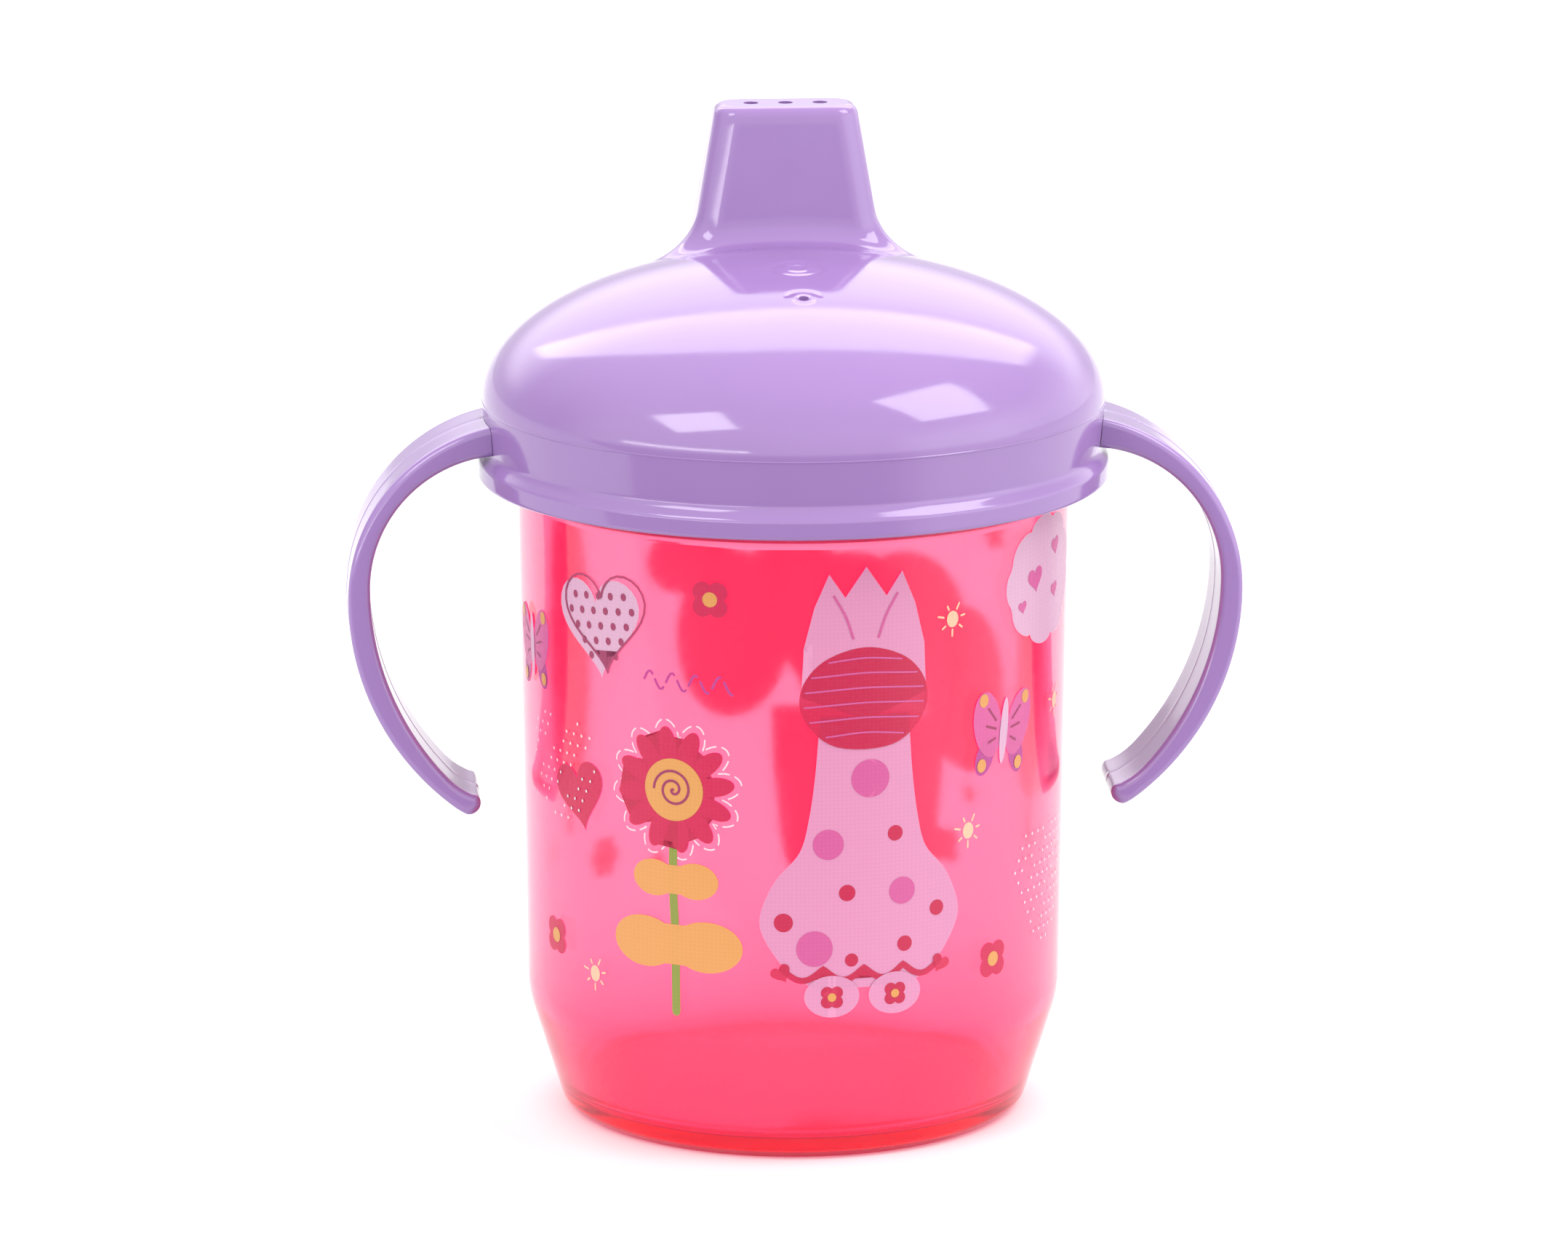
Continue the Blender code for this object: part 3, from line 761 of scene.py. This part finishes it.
def curve(points, steps=8, closed=False):
    """A smooth curve through points."""
    around = [points[-1], *points, *points[:2]] if closed else [points[0], *points, points[-1]]
    path = []
    for span in zip(around, around[1:], around[2:], around[3:]):
        for step in range(steps):
            path.append(tuple(spline(step / steps, *values) for values in zip(*span)))
    return path if closed else path + [points[-1]]


def line_edges(points, width, closed=False):
    """The two edges of a line of even width along points."""
    around = [points[-1 if closed else 0], *points, points[0 if closed else -1]]
    left, right = [], []
    for before, (u, v), after in zip(around, points, around[2:]):
        along = Vector((after[0] - before[0], after[1] - before[1])).normalized() * width / 2
        left.append((u - along.y, v + along.x))
        right.append((u + along.y, v - along.x))
    return left, right


def stroke(points, width):
    """A line of even width with round ends along an open path."""
    left, right = line_edges(points, width)

    def cap(point, edge):
        arm = Vector((edge[0] - point[0], edge[1] - point[1]))
        turns = [turn_point(arm, -pi / 4 * step) for step in (1, 2, 3)]
        return [(point[0] + u, point[1] + v) for u, v in turns]

    return left + cap(points[-1], left[-1]) + right[::-1] + cap(points[0], right[0])


def stroke_loop(outline, width):
    """A closed line of even width: the outline and its inner copy joined by one seam."""
    outer, inner = line_edges(outline, width, closed=True)
    return outer + [outer[0]] + [inner[0]] + inner[:0:-1]


def dashes(outline, dash, gap, width, closed=True):
    """Short strokes along an outline."""
    path = [*outline, outline[0]] if closed else outline
    strokes, current, travelled, drawing = [], [path[0]], 0.0, True
    for here, after in zip(path, path[1:]):
        left = hypot(after[0] - here[0], after[1] - here[1])
        while left > 1e-6:
            length = dash if drawing else gap
            step = min(left, length - travelled)
            share = step / left
            here = (here[0] + (after[0] - here[0]) * share, here[1] + (after[1] - here[1]) * share)
            left -= step
            travelled += step
            current.append(here)
            if travelled >= length - 1e-6:
                if drawing:
                    strokes.append(stroke(current, width))
                current, travelled, drawing = [here], 0.0, not drawing
    return strokes


INKS = {}


def ink(name, layer, outline, centre=(0.0, 0.0), turn=0.0, size=1.0):
    """Prints an outline at a centre, and a base coat under it for the lower layers."""
    outline = placed(outline, centre, turn, size)
    INKS.setdefault(name, []).append((layer, outline))
    if layer < 5 and name not in ("white", "cream", "mauve"):
        INKS.setdefault("base_coat", []).append((0, outline))


def sun(centre):
    ink("cream", 1, oval(0.85, 1.05), centre)
    for step in range(7):
        ray = stroke([(1.35, 0.0), (2.15 if step % 2 else 1.85, 0.0)], 0.26)
        ink("cream", 1, ray, centre, 12 + 360 / 7 * step)


def small_flower(centre, size=1.0, petals=4, turn=45.0):
    middle = 1.35 if petals < 5 else 1.7
    ink("crimson", 1, flower(petals, middle, 2.65 - middle), centre, turn, size)
    ink("orange", 2, oval(0.95, 0.95), centre, 0, size)


def butterfly(centre, turn, size=1.0):
    """A butterfly about 11 mm wide, seen from above."""
    spot = (centre, turn, size)
    for side in (-1, 1):
        ink("violet", 1, placed(oval(1.5, 2.5), (side * 3.0, -3.2), side * 18), *spot)
        ink("magenta", 2, placed(oval(2.4, 4.3), (side * 3.0, 0.9), side * -16), *spot)
        for dot in ((side * 4.1, 4.0), (side * 3.5, -4.3)):
            ink("orange", 3, placed(oval(0.75, 0.8625), dot), *spot)
        for low, high in (((1.6, 1.4), (3.1, 2.9)), ((1.5, 0.3), (3.2, 0.7)), ((1.5, -0.9), (2.6, -1.4))):
            ink("mauve", 3, stroke([(side * low[0], low[1]), (side * high[0], high[1])], 0.3), *spot)
    ink("lilac", 4, oval(0.72, 4.2), *spot)


def sunflower(centre, foot):
    """The tall flower: a stem, two pairs of leaves, dark petals in a dashed line, and a coiled middle."""
    u, v = centre
    stem = curve([(u + 0.1, foot), (u + 0.05, foot + 10), (u - 0.2, v - 12), (u, v - 4)])
    ink("green", 2, stroke(stem, 1.15))
    for height, reach, tall in ((v - 11.6, 5.9, 2.35), (v - 20.0, 9.0, 3.3)):
        lobe = 0.52 * reach
        outline = []
        for side in (1, -1):
            for step in range(25):
                angle = radians(-128 + 256 * step / 24)
                outline.append((side * (reach - lobe + lobe * cos(angle)), side * tall * sin(angle)))
        ink("orange", 3, outline, (u, height))
    for part in dashes(placed(daisy(12, 6.5, 9.0), centre, 8), 1.35, 0.8, 0.2):
        ink("white", 1, part)
    ink("crimson", 4, daisy(12, 4.4, 8.1), centre, 8)
    ink("orange", 5, oval(4.0, 4.0), centre)
    coil = []
    for step in range(64):
        share = step / 63
        coil.append((2.7 * share * cos(2.2 + 13.5 * share), 2.7 * share * sin(2.2 + 13.5 * share)))
    ink("mauve", 6, stroke(coil, 0.34), centre)


def vase(middle, foot):
    """The tall motif: a spotted vase, its hem, two medallions under it, and a tulip with a striped cup."""
    base = (middle, foot)
    wall = [(6.2, 0.0), (9.6, 2.2), (12.6, 6.4), (13.1, 9.6), (11.2, 14.0)]
    wall += [(8.2, 17.6), (7.0, 22.0), (6.2, 28.0), (5.7, 35.0)]
    right = curve(wall, 6)
    ink("pale_pink", 2, right + [(-u, v) for u, v in reversed(right)], base)
    large = ((-6.3, 5.2, 2.3), (5.0, 12.1, 1.75), (-4.6, 18.6, 1.95), (0.7, 26.9, 2.45))
    small = ((-10.2, 8.6, 1.2), (-2.2, 12.3, 1.05), (9.9, 9.3, 1.0), (5.4, 5.2, 1.0))
    small += ((-1.6, 3.6, 0.85), (4.0, 19.6, 1.0))
    for colour, spots in (("magenta", large), ("crimson", small)):
        for u, v, radius in spots:
            ink(colour, 3, placed(oval(radius, radius), (u, v)), base)
    hem = [(-10.4 + 0.26 * step, 2.6 - 1.5 * abs(sin(radians(9 * step)))) for step in range(81)]
    ink("crimson", 4, stroke(hem, 0.8), base)
    for side in (-1, 1):
        u = middle + side * 4.1
        ink("crimson", 5, heart(2.6), (middle + side * 10.4, foot + 1.9), side * -28)
        ink("pale_pink", 6, oval(3.5, 2.7), (u, foot - 1.0))
        ink("crimson", 7, flower(4, 0.85, 0.8), (u, foot - 1.1), 45)
        ink("orange", 8, oval(0.55, 0.55, 20), (u, foot - 1.1))
    bloom = (middle, foot + 40.5)
    cup = [(-8.0, -2.0), (-7.6, -6.0), (-3.6, -9.4), (3.6, -9.4), (7.6, -6.0), (8.0, -2.0)]
    cup += [(5.2, 1.6), (0.0, 3.2), (-5.2, 1.6)]
    petals = [(-8.0, -3.0), (-7.7, 3.2), (-6.4, 8.4), (-4.6, 12.6), (-2.6, 9.6), (0.0, 13.4)]
    petals += [(-u, v) for u, v in reversed(petals[:5])] + [(0.0, -6.0)]
    ink("pale_pink", 4, petals, bloom)
    ink("crimson", 5, curve(cup, 6, True), bloom)
    for step, half in enumerate((4.6, 6.7, 7.5, 7.6, 6.9, 4.9)):
        height = 1.4 - 1.9 * step
        line = curve([(-half, height), (0.0, height + 0.45), (half, height)], 6)
        ink("magenta", 6, stroke(line, 0.22), bloom)
    for u in (-3.2, 3.2):
        vein = curve([(u * 0.5, 4.4), (u * 0.8, 7.2), (u * 1.25, 9.8)], 5)
        ink("magenta", 6, stroke(vein, 0.3), bloom)


def staggered(rows, columns, pitch, rise, shift):
    """The rows, columns and points of a grid with every second row shifted, numbered from its middle."""
    for row in range(-rows, rows + 1):
        for column in range(-columns, columns + 1):
            yield row, column, (column * pitch + (row % 2) * shift, row * rise)


def dotted_heart(centre, width, turn=0.0):
    """A pale heart with a dark outline printed a little out of register, and dots."""
    u, v = centre
    ink("lilac", 1, heart(width), (u - 0.5, v - 0.5), turn)
    line = placed(heart(width * 0.98), (u + 0.5, v + 0.3), turn)
    ink("mauve", 3, stroke_loop(line, 0.34))
    for _, _, spot in staggered(3, 3, 2.1, 1.9, 1.05):
        if inside_heart(spot, width * 0.8):
            ink("mauve", 2, placed(oval(0.42, 0.5, 16), spot), centre, turn)


def inside_heart(point, width):
    """True if a point lies within a heart about the origin."""
    u, v = point[0] * 2.3 / width, point[1] * 2.3 / width + 0.12
    return (u * u + v * v - 1) ** 3 - u * u * v**3 < 0


def dot_cloud(centre, width, pitch, keep):
    """White dots on a skewed grid in the shape of a heart, with keep of every six printed."""
    for row, column, spot in staggered(12, 12, pitch, pitch * 0.9, pitch / 2):
        if inside_heart(spot, width) and (row * 7 + column * 5) % 6 < keep:
            ink("white", 6, placed(oval(0.17, 0.2, 10), spot), centre)


def cloud(centre, half_u, half_v):
    outline = polar(lambda angle: 1.0 + 0.10 * abs(sin(4.5 * angle)) ** 0.6, 108)
    ink("lilac", 1, [(u * half_u, v * half_v) for u, v in outline], centre)
    for u, v, width in ((-3.2, 0.2, 3.6), (2.8, 3.4, 2.6), (2.6, -2.2, 2.2), (-6.2, -2.8, 1.8)):
        ink("magenta", 2, heart(width), (centre[0] + u, centre[1] + v), 8)


def tall_tree(centre, half_u, half_v):
    """A tree with a long round crown, dotted, on a short trunk."""
    crown = [(half_u * abs(u) ** 0.55 * (1 if u > 0 else -1), half_v * v) for u, v in oval(1.0, 1.0, 60)]
    ink("green", 1, stroke([(0.0, -half_v - 5.5), (0.0, -half_v + 1.0)], 1.6), centre)
    ink("crimson", 2, crown, centre)
    for _, _, spot in staggered(4, 1, half_u * 0.55, half_v * 0.2, half_u * 0.27):
        ink("pale_pink", 3, placed(oval(0.6, 0.7, 16), spot), centre)


def potted_bush(middle, foot):
    """The large motif at the back: a bush of round lobes with leaves on it, in a tapered pot."""
    base = (middle, foot)
    lobes = [(-19.0, 27.0, 8.0, 11.0), (-9.5, 35.5, 9.0, 8.5), (-1.5, 33.0, 10.4, 10.4)]
    lobes += [(7.0, 37.5, 8.5, 7.6), (15.5, 32.5, 8.0, 11.2), (21.5, 43.0, 6.5, 4.8)]
    for layer, (u, v, half_u, half_v) in zip((3, 2, 1, 2, 1, 2), lobes):
        ink("crimson", layer, placed(oval(half_u, half_v, 48), (u, v)), base)
    pot = [(-12.6, 22.5), (-12.0, 12.0), (-9.6, 0.0), (0.0, -0.8), (9.6, 0.0), (12.0, 12.0), (12.6, 22.5)]
    ink("crimson", 4, curve(pot), (middle - 2.5, foot))
    leaves = [(-19.5, 26.0), (-10.0, 37.0), (-1.5, 32.0), (7.5, 38.5), (15.5, 32.0)]
    for u, v in leaves + [(-7.0, 28.5), (5.0, 27.0)]:
        ink("magenta", 5, placed(oval(1.3, 2.6, 24), (u, v), 20 - 2 * u), base)
    for row in range(3):
        half, height = 8.0 - row * 0.8, 16.0 - 5 * row
        band = curve([(-2.5 - half, height), (-2.5, height - 1.0), (-2.5 + half, height)])
        ink("pale_pink", 5, stroke(band, 0.7), base)


def round_the_cup():
    """Places every motif on the rolled-out wall."""
    back = pi * (SHOULDER_RADIUS + BODY_RADIUS) / 2
    vase(6.5, 23.6)
    sunflower((-17.8, 48.5), 19.8)
    dotted_heart((-28.6, 68.0), 14.0, 6)
    wave = [(-21.8 + 12.4 * k / 40, 62.3 + 1.1 * sin(k * 0.62)) for k in range(41)]
    for part in dashes(wave, 1.9, 0.8, 0.34, closed=False):
        ink("violet", 1, part)
    for centre in ((-12.8, 73.2), (-39.1, 25.9), (25.9, 24.6)):
        small_flower(centre)
    butterfly((27.2, 54.0), -6)
    butterfly((-44.9, 62.5), 4, 0.95)
    cloud((37.0, 71.8), 8.8, 7.6)
    ink("crimson", 2, heart(9.6), (-33.0, 45.2), 14)
    dot_cloud((-37.0, 47.6), 15.0, 1.55, 4)
    dot_cloud((38.0, 32.0), 17.0, 1.6, 5)
    potted_bush(back - 9.5, 21.0)
    tall_tree((-back * 0.667, 55.5), 6.2, 18.6)
    tall_tree((back * 0.585, 54.5), 5.0, 17.6)
    small_flower((-back * 0.747, 26.1), 1.1, 6, 0)
    small_flower((-back * 0.86, 70.5), 1.1, 5, 0)
    small_flower((back * 0.77, 26.5), 1.0)
    small_flower((back * 0.69, 69.5), 0.9, 5, 0)
    for centre in ((18.3, 69.7), (21.2, 42.1), (-30.6, 22.7), (40.7, 55.1)):
        sun(centre)
    for centre in ((back * 0.73, 34.0), (-back * 0.60, 30.0), (-back * 0.84, 24.0)):
        sun(centre)


def wall_radius(height):
    share = (height - SHOULDER_HEIGHT) / (BODY_HEIGHT - SHOULDER_HEIGHT)
    return SHOULDER_RADIUS + (BODY_RADIUS - SHOULDER_RADIUS) * share


def print_sheet(name, shapes):
    """One ink's shapes, cut into narrow strips and laid round the wall, each at its layer's height."""
    around = (SHOULDER_RADIUS + BODY_RADIUS) / 2
    sheet = bmesh.new()
    for layer, outline in shapes:
        part = bmesh.new()
        part.faces.new([part.verts.new((u, v, 0.0)) for u, v in outline])
        bmesh.ops.triangulate(part, faces=part.faces)
        reach = [u for u, v in outline]
        first, last = ceil(min(reach) / PRINT_STRIP), ceil(max(reach) / PRINT_STRIP)
        for step in range(first, last):
            everything = part.verts[:] + part.edges[:] + part.faces[:]
            spot = (step * PRINT_STRIP, 0, 0)
            bmesh.ops.bisect_plane(part, geom=everything, plane_co=spot, plane_no=(1, 0, 0))
        for vert in part.verts:
            u, v, _ = vert.co
            radius = wall_radius(v) + PRINT_LIFT + PRINT_LAYER * layer
            vert.co = (radius * sin(u / around), -radius * cos(u / around), v)
        copy = bpy.data.meshes.new("part")
        part.to_mesh(copy)
        part.free()
        sheet.from_mesh(copy)
        bpy.data.meshes.remove(copy)
    for face in sheet.faces:
        middle = face.calc_center_median()
        if face.normal.x * middle.x + face.normal.y * middle.y < 0:
            face.normal_flip()
    obj = linked(name, sheet)
    obj.data.shade_smooth()
    return obj


# Materials


class Nodes:
    """Short calls for building a node tree."""

    def __init__(self, owner):
        owner.use_nodes = True
        self.tree = owner.node_tree

    def put(self, source, socket):
        """Feeds a socket from another node's output, or gives it a plain value."""
        if isinstance(source, bpy.types.NodeSocket):
            self.tree.links.new(source, socket)
        else:
            socket.default_value = (*source, 1.0) if socket.type == "RGBA" else source

    def node(self, kind, inputs, output=0, **settings):
        """The output of a new node with these settings and inputs."""
        node = self.tree.nodes.new(kind)
        for key, value in settings.items():
            setattr(node, key, value)
        for key, source in inputs.items():
            self.put(source, node.inputs[key])
        return node.outputs[output]

    def math(self, operation, *values):
        return self.node("ShaderNodeMath", dict(enumerate(values)), operation=operation)

    def ramp(self, source, start, end, low, high, kind="SMOOTHSTEP"):
        """Runs from low to high while the source runs from start to end."""
        inputs = {"Value": source, "From Min": start, "From Max": end, "To Min": low, "To Max": high}
        return self.node("ShaderNodeMapRange", inputs, interpolation_type=kind)

    def axes(self, place):
        return self.node("ShaderNodeSeparateXYZ", {"Vector": place}).node.outputs


class Surface(Nodes):
    """Short calls for building one material's nodes."""

    def __init__(self, name):
        self.material = bpy.data.materials.new(name)
        super().__init__(self.material)
        self.place = self.node("ShaderNodeTexCoord", {}, "Object")

    def feed(self, **values):
        """Sets inputs of the material's own shader."""
        for key, value in values.items():
            self.put(value, self.tree.nodes["Principled BSDF"].inputs[key.replace("_", " ")])

    def painted_glow(self, colour, strength):
        """Painted light of its own, which isn't sampled as a lamp."""
        self.feed(Emission_Color=colour, Emission_Strength=strength)
        self.material.cycles.emission_sampling = "NONE"

    def noise(self, size, detail, stretch=None):
        """Noise whose features are about size millimetres across."""
        place = self.place
        if stretch:
            place = self.node("ShaderNodeMapping", {"Scale": stretch, "Vector": place})
        inputs = {"Scale": 1 / (size * MM), "Detail": detail, "Vector": place}
        return self.node("ShaderNodeTexNoise", inputs)

    def spread(self, source, low, high, start=0.3, end=0.7):
        return self.ramp(source, start, end, low, high, "LINEAR")

    def blend(self, factor, first, second):
        """A mix of two colours, each a plain colour or another node's output."""
        inputs = {0: factor, MIX_FIRST: first, MIX_SECOND: second}
        return self.node("ShaderNodeMix", inputs, MIX_RESULT, data_type="RGBA")

    def bump(self, source, depth, onto=None):
        """A bump whose full height is depth millimetres."""
        inputs = {"Distance": depth * MM, "Height": source}
        return self.node("ShaderNodeBump", inputs | ({"Normal": onto} if onto else {}))


def plastic(name, light, dark):
    """Glossy moulded plastic: faint flow clouding, a slightly wavy skin, and fine specks."""
    nodes = Surface(name)
    wavy = nodes.bump(nodes.noise(6, 1), 0.012)
    nodes.feed(
        Base_Color=nodes.blend(nodes.noise(9, 3), dark, light),
        Roughness=nodes.spread(nodes.noise(2.5, 4), 0.08, 0.13),
        Normal=nodes.bump(nodes.noise(0.25, 2), 0.0012, onto=wavy),
        IOR=1.61,
    )
    return nodes.material


def clear_plastic(name, light, dark, base, deep):
    """Tinted see-through plastic that darkens with depth and, as painted shade, towards its base, with flow
    lines up the wall.

    It has a faint painted glow, standing in for the light that its cloudiness scatters.
    """
    nodes = Surface(name)
    flow = (1, 1, 0.3)
    tint = nodes.blend(nodes.noise(7, 3, flow), dark, light)
    # painted shade: the base colour runs deeper towards the cup's foot
    up = nodes.spread(nodes.axes(nodes.place)["Z"], 0.0, 1.0, FLOOR_HEIGHT * MM, (SHOULDER_HEIGHT + 4) * MM)
    nodes.feed(
        Base_Color=nodes.blend(up, base, tint),
        Roughness=nodes.spread(nodes.noise(1.2, 3), 0.07, 0.12),
        Normal=nodes.bump(nodes.noise(5, 1, flow), 0.01),
        IOR=1.49,
        Transmission_Weight=0.985,
        Specular_Tint=(1.0, 0.7, 0.78),
    )
    # painted light: a faint crimson glow standing in for light scattered in the cloudy plastic
    nodes.painted_glow((0.9, 0.025, 0.16), 0.1)
    depth = nodes.node("ShaderNodeVolumeAbsorption", {"Color": deep, "Density": 0.3 / MM})
    nodes.put(depth, nodes.tree.nodes["Material Output"].inputs["Volume"])
    return nodes.material


def rubber(name, light, dark):
    nodes = Surface(name)
    nodes.feed(
        Base_Color=nodes.blend(nodes.noise(3, 3), dark, light),
        Roughness=nodes.spread(nodes.noise(0.6, 3), 0.38, 0.52),
        Normal=nodes.bump(nodes.noise(0.3, 2), 0.004),
        IOR=1.41,
        Subsurface_Weight=0.3,
        Subsurface_Radius=(2.0, 1.6, 1.4),
        Subsurface_Scale=MM,
    )
    return nodes.material


def screen_ink(name, colour, alpha, painted_glow=0.0):
    """Screen-printed ink: the screen's fine mesh shows in its colour and its surface.

    The base coat has a little painted glow, standing in for the light that soaks through the print from
    outside.
    """
    nodes = Surface(name)
    inputs = {"Scale": pi / (20 * SCREEN_PITCH * MM), "Distortion": 1.5, "Detail Scale": 2.0}
    inputs["Vector"] = nodes.place
    lines = [nodes.node("ShaderNodeTexWave", inputs, "Fac", bands_direction=axis) for axis in "XZ"]
    mesh = nodes.math("MULTIPLY", *lines)
    pale = tuple(min(1.0, value * 1.02 + 0.004) for value in colour)
    deep = tuple(value * 0.97 for value in colour)
    nodes.feed(
        Base_Color=nodes.blend(mesh, deep, pale),
        Roughness=nodes.spread(nodes.noise(0.4, 2), 0.3, 0.45),
        Normal=nodes.bump(mesh, 0.002),
        Alpha=alpha,
    )
    if painted_glow:
        nodes.painted_glow(colour, painted_glow)
    return nodes.material


def paper(name):
    """Pale paper that glows: white all round, and painted pink light where light reaches it through the
    cup.
    """
    nodes = Surface(name)
    place = nodes.node("ShaderNodeNewGeometry", {}, "Position")
    distance = nodes.node("ShaderNodeVectorMath", {0: place}, "Value", operation="LENGTH")
    outside = nodes.spread(distance, 0.0, 1.0, (BASE_RADIUS - 2) * MM, (BASE_RADIUS + 12) * MM)
    nodes.feed(
        Base_Color=nodes.blend(nodes.noise(40, 2), (0.6, 0.6, 0.6), (0.62, 0.62, 0.62)),
        # painted light: a stronger pink glow under and round the cup's foot
        Emission_Color=nodes.blend(outside, PAINTED_UNDER_CUP_LIGHT, (1.0, 1.0, 1.0)),
        Emission_Strength=nodes.spread(outside, 0.55, 0.1, 0.0, 1.0),
        Roughness=0.9,
    )
    return nodes.material


# Studio


def towards(azimuth, elevation):
    """The direction from the cup to a place in the room. Azimuth 0 is at -Y and 90 at +X."""
    turn, rise = radians(azimuth), radians(elevation)
    return Vector((sin(turn) * cos(rise), -cos(turn) * cos(rise), sin(rise)))


def aimed(name, data, place, back, roll=0.0):
    """A lamp or camera at a place in millimetres, with its back in a direction."""
    obj = bpy.data.objects.new(name, data)
    obj.location = place * MM
    obj.rotation_mode = "QUATERNION"
    obj.rotation_quaternion = back.to_track_quat("Z", "Y") @ Quaternion((0, 0, 1), radians(roll))
    bpy.context.scene.collection.objects.link(obj)
    return obj


def soft_box(name, azimuth, elevation, roll, width, height, radiance=SOFT_BOX):
    """A square-faced lamp turned to the lid; its width and height are shares of its distance."""
    away = towards(azimuth, elevation)
    lamp = bpy.data.lights.new(name, "AREA")
    lamp.shape = "RECTANGLE"
    lamp.size, lamp.size_y = width * LAMP_DISTANCE * MM, height * LAMP_DISTANCE * MM
    lamp.energy = radiance * pi * lamp.size * lamp.size_y
    obj = aimed(name, lamp, Vector((0, 0, DOME_LOW)) + away * LAMP_DISTANCE, away, roll)
    obj.visible_camera = False


def surroundings():
    """White room: bright ceiling, a wide bent light overhead, and bright sides to the right and behind."""
    world = bpy.data.worlds.new("studio")
    bpy.context.scene.world = world
    nodes = Nodes(world)
    math, ramp = nodes.math, nodes.ramp

    def times(first, second):
        return math("MULTIPLY", first, second)

    x, y, z = nodes.axes(nodes.node("ShaderNodeTexCoord", {}, "Generated"))
    level = ramp(y, -0.3, 0.3, FRONT, BACK)
    rise = times(ramp(z, 0.2, 0.95, 0.0, 1.0), math("SUBTRACT", CEILING, level))
    light = times(math("ADD", level, rise), ramp(z, -0.12, -0.02, 0.3, 1.0))
    right = times(ramp(x, 0.45, 0.8, 0.0, 1.1), ramp(z, 0.15, 0.6, 1.0, 0.0))
    behind = times(ramp(y, 0.55, 0.85, 0.0, 1.5), ramp(z, 0.6, 0.85, 1.0, 0.0))
    behind = times(behind, ramp(z, 0.1, 0.3, 0.1, 1.0))
    high = math("MAXIMUM", z, 0.05)
    across, along = math("DIVIDE", x, high), math("DIVIDE", y, high)
    lean = times(across, math("ABSOLUTE", across))
    bend = math("SUBTRACT", times(times(across, across), 0.7), times(lean, 0.3))
    bent = math("SUBTRACT", along, bend)
    strip = times(ramp(bent, 0.4, 0.46, 0.0, STRIP), ramp(bent, 1.02, 1.14, 1.0, 0.0))
    strip = times(strip, ramp(math("ABSOLUTE", across), 1.0, 1.25, 1.0, 0.0))
    for part in (right, behind, strip):
        light = math("ADD", light, part)
    seen = nodes.node("ShaderNodeLightPath", {}, "Is Camera Ray")
    strength = nodes.node("ShaderNodeMix", {"Factor": seen, "A": light, "B": 1.0})
    background = nodes.tree.nodes["Background"]
    nodes.put((1.0, 1.0, 1.0), background.inputs["Color"])
    nodes.put(strength, background.inputs["Strength"])


def studio():
    surroundings()
    soft_box("soft_box_left", -46, 39, 38, 0.41, 0.39)
    soft_box("soft_box_low", -44, 1.5, 0, 0.9, 0.06)
    soft_box("soft_box_right", 70, 48, -13, 0.5, 0.52, 0.9 * SOFT_BOX)
    shape = bmesh.new()
    bmesh.ops.create_grid(shape, x_segments=24, y_segments=24, size=FLOOR_HALF)
    floor = object_of("floor", shape)
    floor.location = Vector((0.0, FLOOR_HALF - FLOOR_FRONT, -FLOOR_DROP)) * MM
    floor.data.materials.append(paper("floor_paper"))


def camera():
    scene = bpy.context.scene
    turn = radians(VIEW_TURN)
    data = bpy.data.cameras.new("camera")
    data.sensor_width = SENSOR
    data.lens = LENS
    data.clip_start = 0.01
    data.clip_end = 20.0
    place = Vector((VIEW_DISTANCE * sin(turn), -VIEW_DISTANCE * cos(turn), VIEW_HEIGHT))
    right = Vector((cos(turn), sin(turn), 0.0))
    scene.camera = aimed("camera", data, place - right * VIEW_SIDESTEP, towards(VIEW_TURN, VIEW_PITCH))
    scene.view_settings.view_transform = "Standard"


def piece(obj, material, body, slot, *nodes):
    obj.data.materials.clear()
    obj.data.materials.append(material)
    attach(obj, body)
    if nodes:
        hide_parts(*nodes)


camera()
studio()

lilac = plastic("lilac_plastic", LILAC_LIGHT, LILAC_DARK)
pink = clear_plastic("pink_clear_plastic", PINK_LIGHT, PINK_DARK, PINK_BASE_PAINTED_SHADE, PINK_DEEP)
silicone = rubber("silicone", SILICONE_LIGHT, SILICONE_DARK)

piece(cup_shell(), pink, "cup", "cup", "cup_body")
piece(lid_shell(), lilac, "lid", "lid", "lid")
piece(handle_strap("handle_strap_right", 1), lilac, "lid", "handles", "handle_right")
piece(handle_strap("handle_strap_left", -1), lilac, "lid", "handles", "handle_left")
piece(seal_lips(), silicone, "seal", "seal", "seal_ring")
piece(spill_valve(), silicone, "valve", "valve", "spill_valve")

INK_COLOURS = {
    "base_coat": ((250, 40, 132), 1.0),
    "pale_pink": ((240, 158, 200), 0.96),
    "magenta": ((232, 98, 168), 0.95),
    "crimson": ((222, 20, 80), 0.9),
    "orange": ((246, 172, 92), 0.97),
    "green": ((150, 165, 62), 0.97),
    "mauve": ((178, 50, 105), 0.92),
    "cream": ((252, 214, 176), 0.95),
    "violet": ((196, 70, 158), 0.92),
    "lilac": ((236, 190, 220), 0.93),
    "white": ((255, 238, 244), 0.95),
}
round_the_cup()
for name, (colour, alpha) in INK_COLOURS.items():
    sheet = print_sheet(f"print_{name}", INKS[name])
    light = Color(value / 255 for value in colour).from_srgb_to_scene_linear()
    shade = tuple(INK_DEPTH * value for value in light)
    # only the base coat gets a painted glow
    painted_glow = BASE_COAT_PAINTED_GLOW if name == "base_coat" else 0.0
    piece(sheet, screen_ink(f"ink_{name}", shade, alpha, painted_glow), "cup", "")
